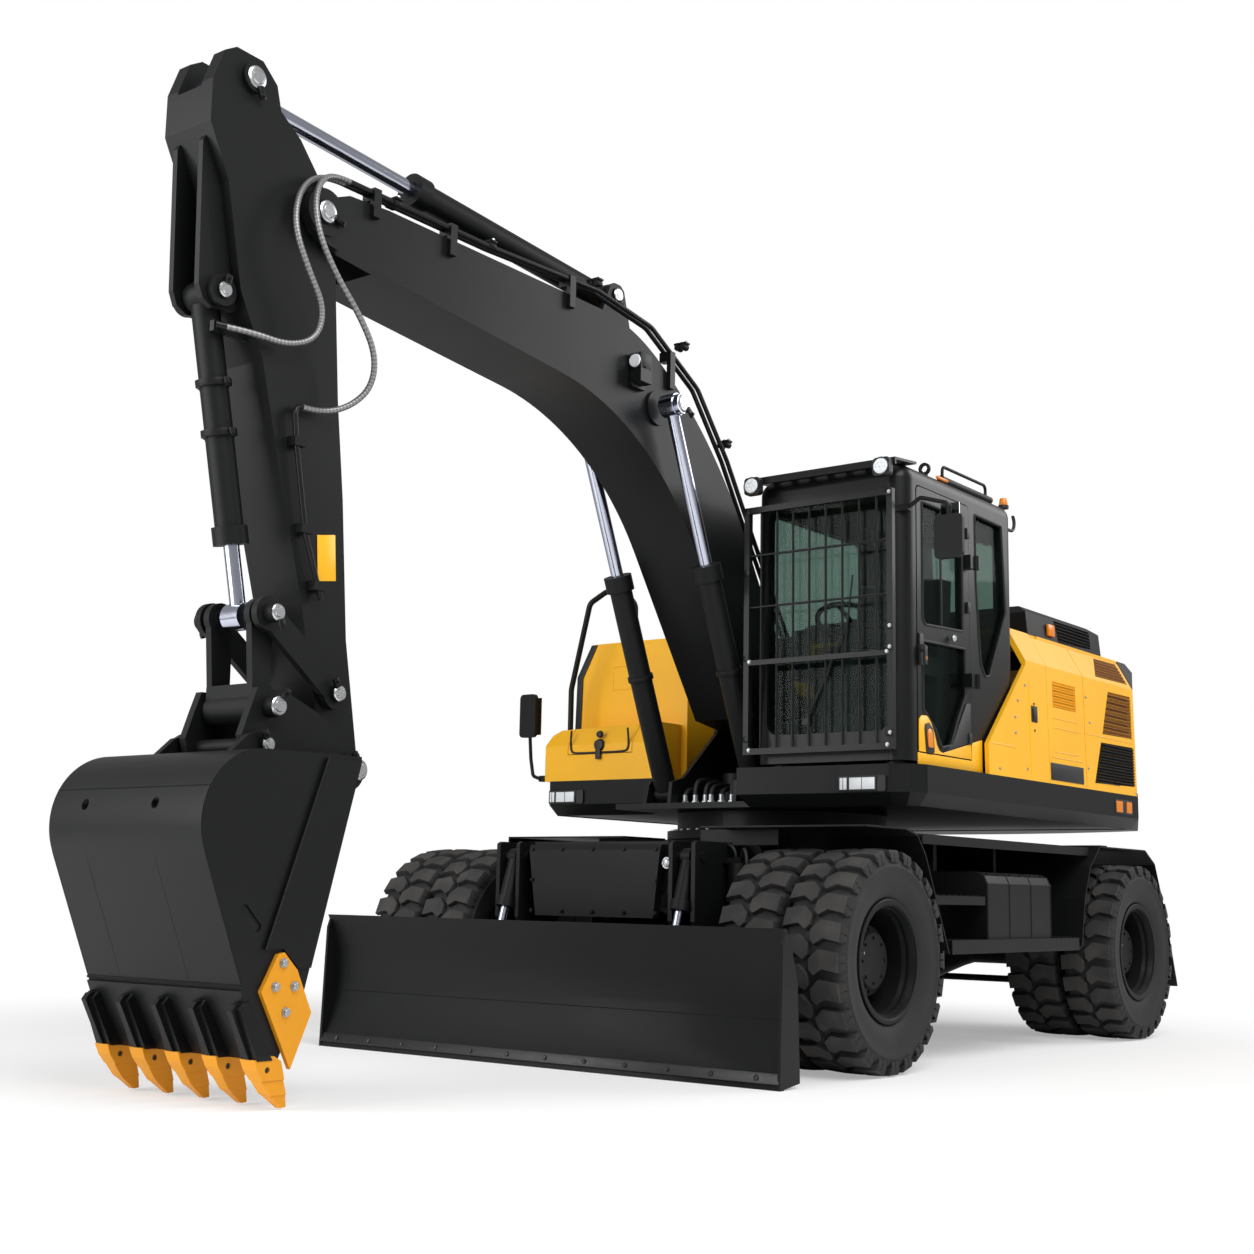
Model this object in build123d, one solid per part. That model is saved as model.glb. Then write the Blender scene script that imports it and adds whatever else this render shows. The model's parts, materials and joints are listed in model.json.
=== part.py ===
from build123d import *
import math
import os

# Wheeled excavator with a dozer blade. Millimetres.
# X points to the blade and bucket end, Y to the cab side, Z up from the ground.
# Places are given from the middle of the wheelbase, on the boom's centre plane.
# save() moves every piece back by MIDDLE_X, which puts the origin under the middle of the machine.

os.makedirs("parts", exist_ok=True)

# ================================================================ driving dimensions
MIDDLE_X = 1060.0
GAP = 6.0                      # clearance between pieces that move past each other
SLIP = 0.3                     # clearance between curved pieces that only touch
RUN = 0.05                     # radial clearance of a pin in its bore

# wheels and axles
WHEELBASE = 2908.0
TYRE_R = 488.5
TYRE_W = 292.0
BEAD_R = 263.0
OUTER_Y = 1229.0               # middle of the outer tyre
INNER_Y = 900.0                # middle of the inner tyre
KINGPIN_Y = 780.0
STEER_ARM = 200.0

# chassis
FRAME_TOP = 1000.0
FRAME_BOTTOM = 700.0
NOSE_X = 1800.0
SLEW_X = 200.0
RING_Z = 1100.0                # joint plane of the slew ring
RING_R = 600.0
GUARD_TOP = 1076.0             # top of the mudguards
PLATE = 8.0                    # sheet of the mudguards and shelves
UNDER = GUARD_TOP - PLATE      # under side of the mudguards
SHELF_Y = 1280.0
SHELF_Z = 1052.0

# blade
BLADE_HALF = 1325.0
BLADE_FACE_X = 2292.0
BLADE_H = 631.0
BLADE_PIVOT = (1660.0, 420.0)
BLADE_ROD_PIN = (1930.0, 500.0)
BLADE_BARREL_PIN = (1800.0, 930.0)
BLADE_ARM_Y = 520.0

# upper structure
DECK_Z = 1191.0                # underside
DECK_TOP = 1226.0
SKIRT_TOP = 1384.0
HOUSE_HALF = 1285.0
DECK_HALF = 1215.0
CREASE_Z = 2015.0
SHOULDER_Z = 2200.0
SHOULDER_Y = 1170.0
TAIL_X = -1690.0               # joint between the side panels and the counterweight
TAIL_R = 2420.0                # tail swing radius about the slew axis
SKIN = 22.0
SEAM = 8.0
TANK_X = (-540.0, 430.0)
BOX_X = 700.0
HOOD_X = (-1900.0, -830.0)
HOOD_Y = (-560.0, 1000.0)
HOOD_TOP = 2440.0

# cab
CAB_X = (-120.0, 1100.0)
CAB_Y = (400.0, 1245.0)
CAB_Z = (1400.0, 2830.0)
CAB_WALL = 45.0
DOOR_X = (420.0, 985.0)
DOOR_Z = (1440.0, 2735.0)
DOOR_HINGE = (425.0, 1287.0)   # (x, y)
GUARD_X = 1185.0
GUARD_Y = (405.0, 1235.0)
GUARD_Z = (1440.0, 2675.0)

# front equipment: (x, z) of the pins
BOOM_FOOT = (350.0, 1700.0)
BOOM_TIP = (3854.0, 3380.0)
BOOM_ROD_PIN = (1662.0, 3117.0)
BOOM_BARREL_PIN = (888.0, 1281.0)
ARM_BARREL_PIN = (1870.0, 3655.0)
ARM_TAIL_PIN = (4202.0, 3812.0)
ARM_TIP = (3589.0, 1207.0)
BUCKET_BARREL_PIN = (4270.0, 2950.0)
ROCKER_PIVOT = (3675.0, 1496.0)
ROCKER_TIP = (4020.0, 1760.0)
COUPLER_PIN = (4000.0, 1413.0)
BUCKET_PIN = (4050.0, 1268.0)
BOOM_HALF = 186.0              # half widths
ARM_HALF = 135.0
BUCKET_HALF = 430.0
BOOM_CYL_Y = 278.0
SHEET = 20.0                   # bucket plate


# ================================================================ helpers
def save(node, *solids):
    """Writes one node from solids that are placed from the middle of the wheelbase."""
    moved = [Location((-MIDDLE_X, 0, 0)) * part for solid in solids for part in solid.solids()]
    export_step(Compound(moved), f"parts/{node}.step")


def box(x, y, z):
    """A block between three pairs of limits, given in either order."""
    limits = [sorted(pair) for pair in (x, y, z)]
    middle = [(low + high) / 2 for low, high in limits]
    return Location(middle) * Box(*[high - low for low, high in limits])


def outline(points, corner=0.0):
    """A flat face inside a closed outline, with one radius on all its corners."""
    face = make_face(Polyline(*points, close=True))
    return fillet(face.vertices(), corner) if corner else face


def rounded(face, corners):
    """A face with its own radius on each corner that is listed as (x, y, radius)."""
    for x, y, radius in corners:
        face = fillet(face.vertices().sort_by_distance((x, y, 0))[0], radius)
    return face


def side_plate(points, y, corner=0.0):
    """An outline in (x, z), or a face drawn in it, between two limits of y."""
    low, high = sorted(y)
    face = points if isinstance(points, Sketch) else outline(points, corner)
    plane = Plane(origin=(0, high, 0), x_dir=(1, 0, 0), z_dir=(0, -1, 0))
    return extrude(plane * face, amount=high - low)


def cross_plate(points, x, corner=0.0):
    """An outline in (y, z), between two limits of x."""
    plane = Plane(origin=(x[0], 0, 0), x_dir=(0, 1, 0), z_dir=(1, 0, 0))
    return extrude(plane * outline(points, corner), amount=x[1] - x[0])


def floor_plate(points, z, corner=0.0):
    """An outline in (x, y), between two limits of z."""
    return extrude(Plane(origin=(0, 0, z[0])) * outline(points, corner), amount=z[1] - z[0])


def folded(points, thick):
    """The outline of a folded plate that follows the points, thickened to the left of their way."""
    far = []
    for i, (x, z) in enumerate(points):
        before = points[max(i - 1, 0)]
        after = points[min(i + 1, len(points) - 1)]
        way_in = Vector(x - before[0], z - before[1]) if i else Vector(after[0] - x, after[1] - z)
        way_out = Vector(after[0] - x, after[1] - z) if i < len(points) - 1 else way_in
        way = (way_in.normalized() + way_out.normalized()).normalized()
        reach = thick / way.dot(way_in.normalized())
        far.append((x - reach * way.Y, z + reach * way.X))
    return list(points) + far[::-1]


def boss(pin, y, radius):
    """A round boss along Y on the axis of a pin."""
    low, high = sorted(y)
    plane = Plane(origin=(pin[0], high, pin[1]), x_dir=(1, 0, 0), z_dir=(0, -1, 0))
    return extrude(plane * Circle(radius), amount=high - low)


def post(x, y, z, radius):
    """A round post along Z."""
    return extrude(Plane(origin=(x, y, z[0])) * Circle(radius), amount=z[1] - z[0])


def bar(start, end, radius):
    """A round bar between two points."""
    axis = Vector(*end) - Vector(*start)
    return extrude(Plane(origin=start, z_dir=axis) * Circle(radius), amount=axis.length)


def tube(points, radius, bends):
    """A bent tube through points; bends is one radius, or one for each inner point."""
    path = FilletPolyline(*points, radius=bends)
    return sweep(Plane(origin=path @ 0, z_dir=path % 0) * Circle(radius), path=path)


def along(pin, other, distance, y=None):
    """The point at a distance from one pin towards another: (x, z), or (x, y, z) if y is given."""
    share = distance / math.dist(pin, other)
    x, z = (a + (b - a) * share for a, b in zip(pin, other))
    return (x, z) if y is None else (x, y, z)


def other_side(solid):
    """The mirror twin of a solid across the centre plane."""
    return mirror(solid, about=Plane.XZ)


def turned(profile, x, y, z):
    """A closed (radius, y) outline turned about the line along Y through (x, z)."""
    plane = Plane(origin=(x, y, z), x_dir=(1, 0, 0), z_dir=(0, 0, 1))
    return revolve(plane * outline(profile), Axis((x, y, z), (0, 1, 0)))


# ================================================================ wheels
TYRE_SIDES = 18                # flat sides round a tyre, one of them on the ground
GROOVE_R = 464.0               # to the floor of the tread's grooves
BEAD_Y = 99.0                  # half width at the bead
# (along the tread, across it) of one lug on each side of the tread, leaning away from the middle
LUGS = (
    ((-50, 8), (2, 8), (-8, 200), (-78, 200)),
    ((30, -8), (78, -8), (68, -200), (0, -200)),
)


def ring_face(radius, y):
    """A regular polygon about the line along Y, with one side level under it."""
    step = 2 * math.pi / TYRE_SIDES
    reach = radius / math.cos(step / 2)
    ways = [-math.pi / 2 + step * (i + 0.5) for i in range(TYRE_SIDES)]
    points = [(reach * math.cos(way), reach * math.sin(way)) for way in ways]
    return Plane(origin=(0, y, 0), x_dir=(1, 0, 0), z_dir=(0, -1, 0)) * outline(points)


def ring_body(radius):
    """The body that the flat sidewalls bound, up to a radius of the tread."""
    share = (radius - BEAD_R) / (TYRE_R - BEAD_R)
    half = BEAD_Y + (TYRE_W / 2 - BEAD_Y) * share
    halves = [(BEAD_R, -BEAD_Y), (radius, -half), (radius, half), (BEAD_R, BEAD_Y)]
    return loft([ring_face(r, y) for r, y in halves], ruled=True)


lugs = []
for i in range(TYRE_SIDES):
    turn = 360 / TYRE_SIDES * i
    for plan in LUGS:
        lug = Plane(origin=(0, 0, -GROOVE_R + 30)) * outline([(along_, across) for along_, across in plan])
        lugs.append(Rot(0, turn, 0) * extrude(lug, amount=TYRE_R - GROOVE_R + 30, dir=(0, 0, -1)))
bore = extrude(ring_face(BEAD_R, 200), amount=400)
tread = Compound(lugs) & ring_body(TYRE_R)
tyre = (ring_body(GROOVE_R) + tread.solids()) - bore
WELL_R = BEAD_R - SLIP
DISC_Y = (OUTER_Y + INNER_Y) / 2
# (radius, y) of a left-hand pair of rims with the disc between them and the final drive's hub
RIM_PROFILE = (
    (0, DISC_Y - 10), (200, DISC_Y - 10), (222, DISC_Y - 40), (222, INNER_Y - 118), (270, INNER_Y - 118),
    (270, INNER_Y - 109), (WELL_R, INNER_Y - 100), (WELL_R, INNER_Y + 100), (250, INNER_Y + 112),
    (250, OUTER_Y - 112), (WELL_R, OUTER_Y - 100), (WELL_R, OUTER_Y + 100), (270, OUTER_Y + 109),
    (270, OUTER_Y + 118), (240, OUTER_Y + 118), (222, OUTER_Y + 60), (222, DISC_Y + 40), (190, DISC_Y + 14),
    (151, DISC_Y + 14), (151, 1245), (118, 1250), (118, 1272), (0, 1272),
)
# (name, axle's x, side: 1 left, -1 right)
WHEELS = (
    ("front_left", WHEELBASE / 2, 1), ("front_right", WHEELBASE / 2, -1),
    ("rear_left", -WHEELBASE / 2, 1), ("rear_right", -WHEELBASE / 2, -1),
)
for name, axle_x, side in WHEELS:
    save(f"tyres_{name}", *[Location((axle_x, side * y, TYRE_R)) * tyre for y in (OUTER_Y, INNER_Y)])
    save(f"rims_{name}", turned([(r, side * y) for r, y in RIM_PROFILE], axle_x, 0, TYRE_R))

# ================================================================ axles and steering
AXLE_Z = TYRE_R
FRONT_X = WHEELBASE / 2
REAR_X = -WHEELBASE / 2
# (radius, y) from the differential out to the plain tube
HOUSING = ((205, 0), (195, 80), (120, 260), (98, 330))
# (radius, y) of each axle's end: brake housing and carrier, or a plain end inside the yoke
FIXED_END = ((98, 880), (150, 880), (150, 925), (120, 930), (120, 1040))
STEERED_END = ((98, 715),)


def axle_housing(x, end):
    """A drive axle's housing, turned about its own line."""
    half = HOUSING + end
    left = list(half) + [(0, half[-1][1]), (0, -half[-1][1])]
    return turned(left + [(r, -y) for r, y in reversed(half)][:-1], x, 0, AXLE_Z)


KNUCKLE_GAP = 118.0            # half height of the axle's yoke
fixed_axle = axle_housing(FRONT_X, FIXED_END)
steering_axle = axle_housing(REAR_X, STEERED_END)
for side in (-1, 1):
    fixed_axle += box((FRONT_X - 90, FRONT_X + 90), (side * 240, side * 325), (AXLE_Z + 60, FRAME_BOTTOM))
    yoke_z = (AXLE_Z - KNUCKLE_GAP, AXLE_Z + KNUCKLE_GAP)
    steering_axle += post(REAR_X, side * KINGPIN_Y, yoke_z, 62)
    yoke_web = box((REAR_X - 55, REAR_X + 55), (side * 690, side * KINGPIN_Y), (AXLE_Z - 90, AXLE_Z + 90))
    steering_axle += yoke_web
steering_axle += box((REAR_X - 60, REAR_X + 60), (-110, 110), (AXLE_Z + 120, FRAME_BOTTOM))
save("fixed_axle", fixed_axle)
save("steering_axle", steering_axle)

EAR_Z = 165.0                  # half height over the knuckle's two ears
ARM_PIN_Y = 705.0
knuckle = box((REAR_X - 62, REAR_X + 62), (KINGPIN_Y - 55, 870), (AXLE_Z - EAR_Z, AXLE_Z + EAR_Z))
open_z = KNUCKLE_GAP + GAP
knuckle -= box((REAR_X - 80, REAR_X + 80), (KINGPIN_Y - 80, 862), (AXLE_Z - open_z, AXLE_Z + open_z))
knuckle += box((REAR_X - 105, REAR_X + 105), (862, 905), (AXLE_Z - EAR_Z, AXLE_Z + EAR_Z))
knuckle += boss((REAR_X, AXLE_Z), (900, DISC_Y - 10 - GAP), 110)
arm_z = (AXLE_Z - EAR_Z, AXLE_Z - open_z)
STEER_ARM_PLAN = (
    (REAR_X + 40, KINGPIN_Y - 50), (REAR_X + 40, KINGPIN_Y + 40), (REAR_X - 60, KINGPIN_Y + 40),
    (REAR_X - STEER_ARM - 30, ARM_PIN_Y + 28), (REAR_X - STEER_ARM - 30, ARM_PIN_Y - 28),
    (REAR_X - 60, ARM_PIN_Y - 5),
)
knuckle += floor_plate(STEER_ARM_PLAN, arm_z)
save("knuckle_left", knuckle)
save("knuckle_right", other_side(knuckle))

TIE_X = REAR_X - STEER_ARM
TIE_TOP = AXLE_Z - EAR_Z - GAP
tie_rod = bar((TIE_X, -ARM_PIN_Y, TIE_TOP - 25), (TIE_X, ARM_PIN_Y, TIE_TOP - 25), 20)
for side in (-1, 1):
    tie_rod += post(TIE_X, side * ARM_PIN_Y, (TIE_TOP - 52, TIE_TOP), 28)
save("tie_rod", tie_rod)

# ================================================================ chassis
# (x, half width) of the frame in plan
FRAME_PLAN = ((-2020, 330), (-1150, 330), (-850, 460), (850, 460), (1150, 400), (NOSE_X, 400))
FRAME_SIDE = (
    (-2020, 760), (-1900, FRAME_BOTTOM), (NOSE_X - 100, FRAME_BOTTOM), (NOSE_X, 760), (NOSE_X, FRAME_TOP),
    (-1950, FRAME_TOP), (-2020, 930),
)
frame_plan = list(FRAME_PLAN) + [(x, -half) for x, half in reversed(FRAME_PLAN)]
chassis = floor_plate(frame_plan, (FRAME_BOTTOM, FRAME_TOP)) & side_plate(FRAME_SIDE, (-500, 500))
chassis += post(SLEW_X, 0, (FRAME_TOP - 10, RING_Z - 45), 560)
chassis += post(SLEW_X, 0, (RING_Z - 45, RING_Z), RING_R + 25)
# brackets at the nose: their lower ends hold the blade's pivots, their upper ends its cylinders
BRACKET = (
    (1560, FRAME_TOP), (1560, 520), (1600, 360), (1640, 345), (1700, 350), (1760, 470), (1860, 640),
    (1860, 990),
    (1840, FRAME_TOP),
)
BRACKET_Y = 52.0               # inner face from the blade arm's middle
for side in (-1, 1):
    for near, far in ((-BRACKET_Y - 22, -BRACKET_Y), (BRACKET_Y, BRACKET_Y + 22)):
        chassis += side_plate(BRACKET, (side * (BLADE_ARM_Y + near), side * (BLADE_ARM_Y + far)))
    chassis += box((1560, 1680), (side * 390, side * (BLADE_ARM_Y + BRACKET_Y + 22)), (940, FRAME_TOP))
    for pin, radius in ((BLADE_PIVOT, 28), (BLADE_BARREL_PIN, 24)):
        chassis += boss(pin, (side * (BLADE_ARM_Y - 84), side * (BLADE_ARM_Y + 84)), radius)
# (x, half width, half length, top) of the outriggers that carry the mudguards and the side shelves
OUTRIGGERS = (
    (-1810, 700, 40, UNDER), (-1150, 700, 40, UNDER), (-420, 900, 30, SHELF_Z), (640, 900, 30, SHELF_Z),
)
for x, reach, half, top in OUTRIGGERS:
    chassis += box((x - half, x + half), (-reach, reach), (FRAME_TOP - 5, top))
chassis += box((1300, 1400), (300, 740), (FRAME_TOP - 5, UNDER))
save("chassis_frame", chassis)

SHAFT_Z = 500.0
driveline = box((-330, 240), (-210, 210), (400, FRAME_BOTTOM))
driveline = chamfer(driveline.edges().filter_by(Axis.X), 50)
driveline += boss((-60, 470), (-290, 290), 110)
for start, end in ((240, FRONT_X - 206), (-330, REAR_X + 206)):
    driveline += bar((start, 0, SHAFT_Z), (end, 0, SHAFT_Z), 38)
save("driveline", driveline)

NOSE_SIDE = ((NOSE_X, 650), (NOSE_X + 45, 650), (NOSE_X + 52, 960), (NOSE_X + 40, 985), (NOSE_X, 985))
nose_cover = side_plate(NOSE_SIDE, (-395, 395))
# the cover's ends lean in towards the bottom
nose_cover &= cross_plate(((-350, 640), (350, 640), (395, 990), (-395, 990)), (NOSE_X - 10, NOSE_X + 60))
air_tank = post(1600, 662, (672, 905), 56) + box((1560, 1640), (594, 690), (905, 930))
top_plate = box((1180, 1600), (-640, -300), (FRAME_TOP, FRAME_TOP + PLATE))
save("nose_fittings", nose_cover, air_tank, top_plate)

# ================================================================ mudguards, shelves and steps
# (x, z) of the under side of each bent guard, on its way forward
FRONT_GUARD = ((850, 510), (1075, 958), (1150, 1043), (1260, UNDER), (1620, UNDER))
REAR_GUARD_FRONT = ((-1120, UNDER), (-1030, UNDER), (-885, 952), (-800, 780), (-745, 525))
REAR_GUARD_BACK = ((-2215, 620), (-2020, 992), (-1870, UNDER), (-1100, UNDER))
FLAP = ((-2340, 265), (-2212, 600), (-2200, 665))
guards = [side_plate(folded(FRONT_GUARD, PLATE), (450, 1330))]
for side in (-1, 1):
    guard = side_plate(folded(REAR_GUARD_FRONT, PLATE), (side * 480, side * 1315))
    guard += side_plate(folded(REAR_GUARD_BACK, PLATE), (side * 480, side * 1250))
    guard += side_plate(folded(FLAP, 10), (side * 800, side * 1250))
    guards.append(guard)
save("mudguards", *guards)

SHELF_X = (-940.0, 1000.0)
BOX_SECTION = ((500, 572), (1300, 572), (1300, 840), (1282, 880), (1240, 898), (500, 898))


def side_deck(side):
    """The shelf beside the frame, with the box, the two steps and the hangers under it."""
    shelf = box(SHELF_X, (side * 470, side * SHELF_Y), (SHELF_Z, SHELF_Z + PLATE))
    shelf += box(SHELF_X, (side * (SHELF_Y - PLATE), side * SHELF_Y), (SHELF_Z - 38, SHELF_Z))
    shelf -= post(SLEW_X, 0, (FRAME_TOP, RING_Z), RING_R + 40)
    for x in (-360, 325):
        shelf += box((x, x + 35), (side * 570, side * 1000), (880, SHELF_Z))
    section = [(side * y, z) for y, z in BOX_SECTION]
    shelf += cross_plate(section, (-380, 380))
    shelf += box((-665, 815), (side * 1060, side * 1330), (507, 572))
    upper_step = box((400, 925), (side * 1080, side * 1300), (736, 778))
    upper_step += box((370, 420), (side * 1080, side * 1290), (736, 778))
    return shelf + upper_step


save("side_steps", side_deck(1), side_deck(-1))

# ================================================================ blade
face_x = BLADE_FACE_X
blade_front = ThreePointArc((face_x - 16, BLADE_H), (face_x - 88, 330), (face_x - 14, 60))
blade_edge = Polyline((face_x - 14, 60), (face_x + 6, 0), (face_x - 22, 0), (face_x - 40, 60))
blade_back = ThreePointArc((face_x - 40, 60), (face_x - 108, 330), (face_x - 36, BLADE_H))
blade_top = Line((face_x - 36, BLADE_H), (face_x - 16, BLADE_H))
blade_plane = Plane(origin=(0, BLADE_HALF, 0), x_dir=(1, 0, 0), z_dir=(0, -1, 0))
section = make_face([blade_front, blade_edge, blade_back, blade_top])
blade = extrude(blade_plane * section, amount=2 * BLADE_HALF)
# (low, high, back) of the two stiffening boxes behind the face
for low, high, back in ((90, 240, 2150), (440, 560, 2140)):
    rib = ((back, low), (face_x - 85, low - 10), (face_x - 85, high + 10), (back, high))
    blade += side_plate(rib, (-1240, 1240))
CHEEK = (
    (2150, 20), (face_x + 6, 0), (face_x - 12, BLADE_H - 60), (face_x - 30, BLADE_H - 10), (2230, 600),
    (2170, 420),
)
PUSH_ARM = (
    (1660, 480), (1612, 456), (1600, 420), (1612, 384), (1660, 360), (2160, 220), (2160, 440),
    (1990, 425),
)
ROD_LUG = ((1862, 390), (1892, 515), (1930, 545), (1968, 515), (2010, 390))
for side in (-1, 1):
    blade += side_plate(CHEEK, (side * (BLADE_HALF - 14), side * BLADE_HALF))
    blade += side_plate(PUSH_ARM, (side * (BLADE_ARM_Y - 36), side * (BLADE_ARM_Y + 36)))
    for near in (-44, 30):
        blade += side_plate(ROD_LUG, (side * (BLADE_ARM_Y + near), side * (BLADE_ARM_Y + near + 14)))
    blade -= boss(BLADE_PIVOT, (side * (BLADE_ARM_Y - 60), side * (BLADE_ARM_Y + 60)), 28 + RUN)
save("blade", blade)


# ================================================================ cylinders
def barrel(foot, eye, y, radius, length, eye_radius, eye_half, pin, rod):
    """A cylinder's barrel: the eye on its foot pin, the tube and the gland, bored for the rod."""
    solid = boss(foot, (y - eye_half, y + eye_half), eye_radius)
    solid += bar(along(foot, eye, eye_radius * 0.6, y), along(foot, eye, length, y), radius)
    solid += bar(along(foot, eye, length - radius * 1.3, y), along(foot, eye, length, y), radius * 1.25)
    floor = along(foot, eye, eye_radius + 12, y)
    solid -= bar(floor, along(foot, eye, length + 1, y), rod + 1)
    return solid - boss(foot, (y - radius - 5, y + radius + 5), pin + RUN)


def rod(foot, eye, y, radius, length, eye_radius, eye_half):
    """A cylinder's rod with the eye at its outer end."""
    return bar(along(eye, foot, length, y), (eye[0], y, eye[1]), radius) + boss(
        eye, (y - eye_half, y + eye_half), eye_radius)


# (barrel node, rod node, foot pin, eye pin, the y of each cylinder, barrel radius, barrel length,
#  eye radius, half width of the eyes, foot pin radius, rod radius, rod length)
CYLINDERS = (
    ("blade_barrels", "blade_rods", BLADE_BARREL_PIN, BLADE_ROD_PIN, (BLADE_ARM_Y, -BLADE_ARM_Y), 36, 255,
     38, 24, 24, 20, 256),
    ("boom_barrels", "boom_rods", BOOM_BARREL_PIN, BOOM_ROD_PIN, (BOOM_CYL_Y, -BOOM_CYL_Y), 58, 1188,
     50, 40, 34, 32, 1350),
    ("arm_barrel", "arm_rod", ARM_BARREL_PIN, ARM_TAIL_PIN, (0,), 60, 1350, 62, 56, 35, 34, 1420),
    ("bucket_barrel", "bucket_rod", BUCKET_BARREL_PIN, ROCKER_TIP, (0,), 54, 943, 58, 54, 32, 30, 1010),
)
for item in CYLINDERS:
    barrel_node, rod_node, foot, eye, places, radius, length, eye_r, eye_half, pin_r, rod_r, rod_length = item
    barrels = [barrel(foot, eye, y, radius, length, eye_r, eye_half, pin_r, rod_r) for y in places]
    rod_eye_half = min(eye_half, 48)
    rods = [rod(foot, eye, y, rod_r, rod_length, rod_r * 1.75, rod_eye_half) for y in places]
    if rod_node == "boom_rods":
        # each eye carries the round head of its pin on its outer side
        for i, y in enumerate(places):
            rods[i] += boss(BOOM_ROD_PIN, (y, y + math.copysign(72, y)), 50)
    save(barrel_node, *barrels)
    save(rod_node, *rods)

# ================================================================ boom
BOOM_BACK = ((3948, 3380), (3900, 3440), (3800, 3462), (3730, 3492), (3513, 3504), (2125, 3496))
BOOM_HEEL = (
    (920, 2696), (640, 2250), (300, 1790), (258, 1700), (290, 1630), (350, 1605), (440, 1625), (766, 1675),
    (907, 1880), (1330, 2491),
)
BOOM_NOSE = ((2388, 3111), (3201, 3188), (3665, 3235), (3827, 3253), (3915, 3295), (3948, 3380))
boom_side = make_face([
    Polyline(*BOOM_BACK), ThreePointArc((2125, 3496), (1890, 3465), (1642, 3362)),
    ThreePointArc((1642, 3362), (1300, 3118), (920, 2696)), Polyline(*BOOM_HEEL),
    ThreePointArc((1330, 2491), (1791, 2918), (2388, 3111)), Polyline(*BOOM_NOSE),
])
boom = side_plate(boom_side, (-BOOM_HALF, BOOM_HALF))
boom -= boss(BOOM_FOOT, (-300, 300), 45 + RUN)
FORK_Y = ARM_HALF + 10
boom -= side_plate(((3560, 3600), (3560, 3200), (4100, 3200), (4100, 3600)), (-FORK_Y, FORK_Y))
BARREL_LUG = ((1740, 3430), (1815, 3690), (1845, 3712), (1895, 3712), (1925, 3690), (2010, 3480))
for side in (-1, 1):
    boom += boss(BOOM_TIP, (side * FORK_Y, side * (BOOM_HALF + 8)), 95)
    boom += boss(BOOM_ROD_PIN, (side * (BOOM_HALF - 10), side * (BOOM_HALF + 14)), 85)
    boom += side_plate(BARREL_LUG, (side * 66, side * 92))
boom += boss(BOOM_TIP, (-BOOM_HALF - 16, BOOM_HALF + 16), 50)
boom += boss(ARM_BARREL_PIN, (-100, 100), 35)
save("boom", boom)

# ================================================================ arm
ARM_OUTLINE = (
    (4345, 3870), (4290, 3905), (4160, 3900), (4085, 3830), (4060, 3735), (3955, 3658), (3790, 3460),
    (3745, 3208),
    (3698, 2665), (3648, 2270), (3598, 1718), (3512, 1250), (3520, 1160), (3589, 1118), (3660, 1160),
    (3769, 1541),
    (3838, 1841), (3967, 2284), (4085, 2726), (4208, 2966), (4293, 3371), (4392, 3570), (4392, 3740),
)
TAIL_SLOT = ((4000, 4000), (4000, 3745), (4110, 3690), (4500, 3740), (4500, 4000))
GUSSET = (
    (4385, 3510), (4345, 3580), (4240, 3300), (4150, 2930), (4202, 2889), (4300, 2880), (4345, 2905),
    (4366, 2956),
)
arm = side_plate(ARM_OUTLINE, (-ARM_HALF, ARM_HALF))
arm -= side_plate(TAIL_SLOT, (-70, 70))
for side in (-1, 1):
    arm += side_plate(GUSSET, (side * 62, side * 88))
    arm += boss(BUCKET_BARREL_PIN, (side * 62, side * 116), 60)
    arm += boss(ARM_TAIL_PIN, (side * 70, side * (ARM_HALF + 20)), 60)
    arm += boss(ROCKER_PIVOT, (side * 60, side * (ARM_HALF + 6)), 62)
arm += boss(BUCKET_BARREL_PIN, (-125, 125), 32)
for pin, radius in ((BOOM_TIP, 50), (ROCKER_PIVOT, 33), (ARM_TIP, 40)):
    arm -= boss(pin, (-300, 300), radius + RUN)
save("arm", arm)

# ================================================================ bucket linkage
LINK_Y = (ARM_HALF + 12, ARM_HALF + 42)
EAR_Y = (100.0, 131.0)
rocker = boss(ROCKER_PIVOT, (-LINK_Y[1] - 20, LINK_Y[1] + 20), 33)
way = (Vector(*ROCKER_TIP) - Vector(*ROCKER_PIVOT)).normalized() * 50
web = (
    (ROCKER_PIVOT[0] - way.Y, ROCKER_PIVOT[1] + way.X), (ROCKER_PIVOT[0] + way.Y, ROCKER_PIVOT[1] - way.X),
    (ROCKER_TIP[0] + way.Y, ROCKER_TIP[1] - way.X), (ROCKER_TIP[0] - way.Y, ROCKER_TIP[1] + way.X),
)
for side in (-1, 1):
    link_y = (side * LINK_Y[0], side * LINK_Y[1])
    rocker += side_plate(web, link_y) + boss(ROCKER_PIVOT, link_y, 62) + boss(ROCKER_TIP, link_y, 66)
    rocker += boss(ROCKER_TIP, (side * (EAR_Y[0] - 10), side * (LINK_Y[1] + 44)), 36)
save("rocker", rocker)

h_link = boss(COUPLER_PIN, (-EAR_Y[1], EAR_Y[1]), 62)
h_link += box((3955, 4050), (-EAR_Y[1], EAR_Y[1]), (1440, 1500))
for side in (-1, 1):
    ear_y = (side * EAR_Y[0], side * EAR_Y[1])
    h_link += side_plate(((3962, 1420), (4042, 1420), (4072, 1760), (3968, 1760)), ear_y)
    h_link += boss(ROCKER_TIP, ear_y, 62)
h_link -= boss(ROCKER_TIP, (-300, 300), 36 + RUN)
save("h_link", h_link)

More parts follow.
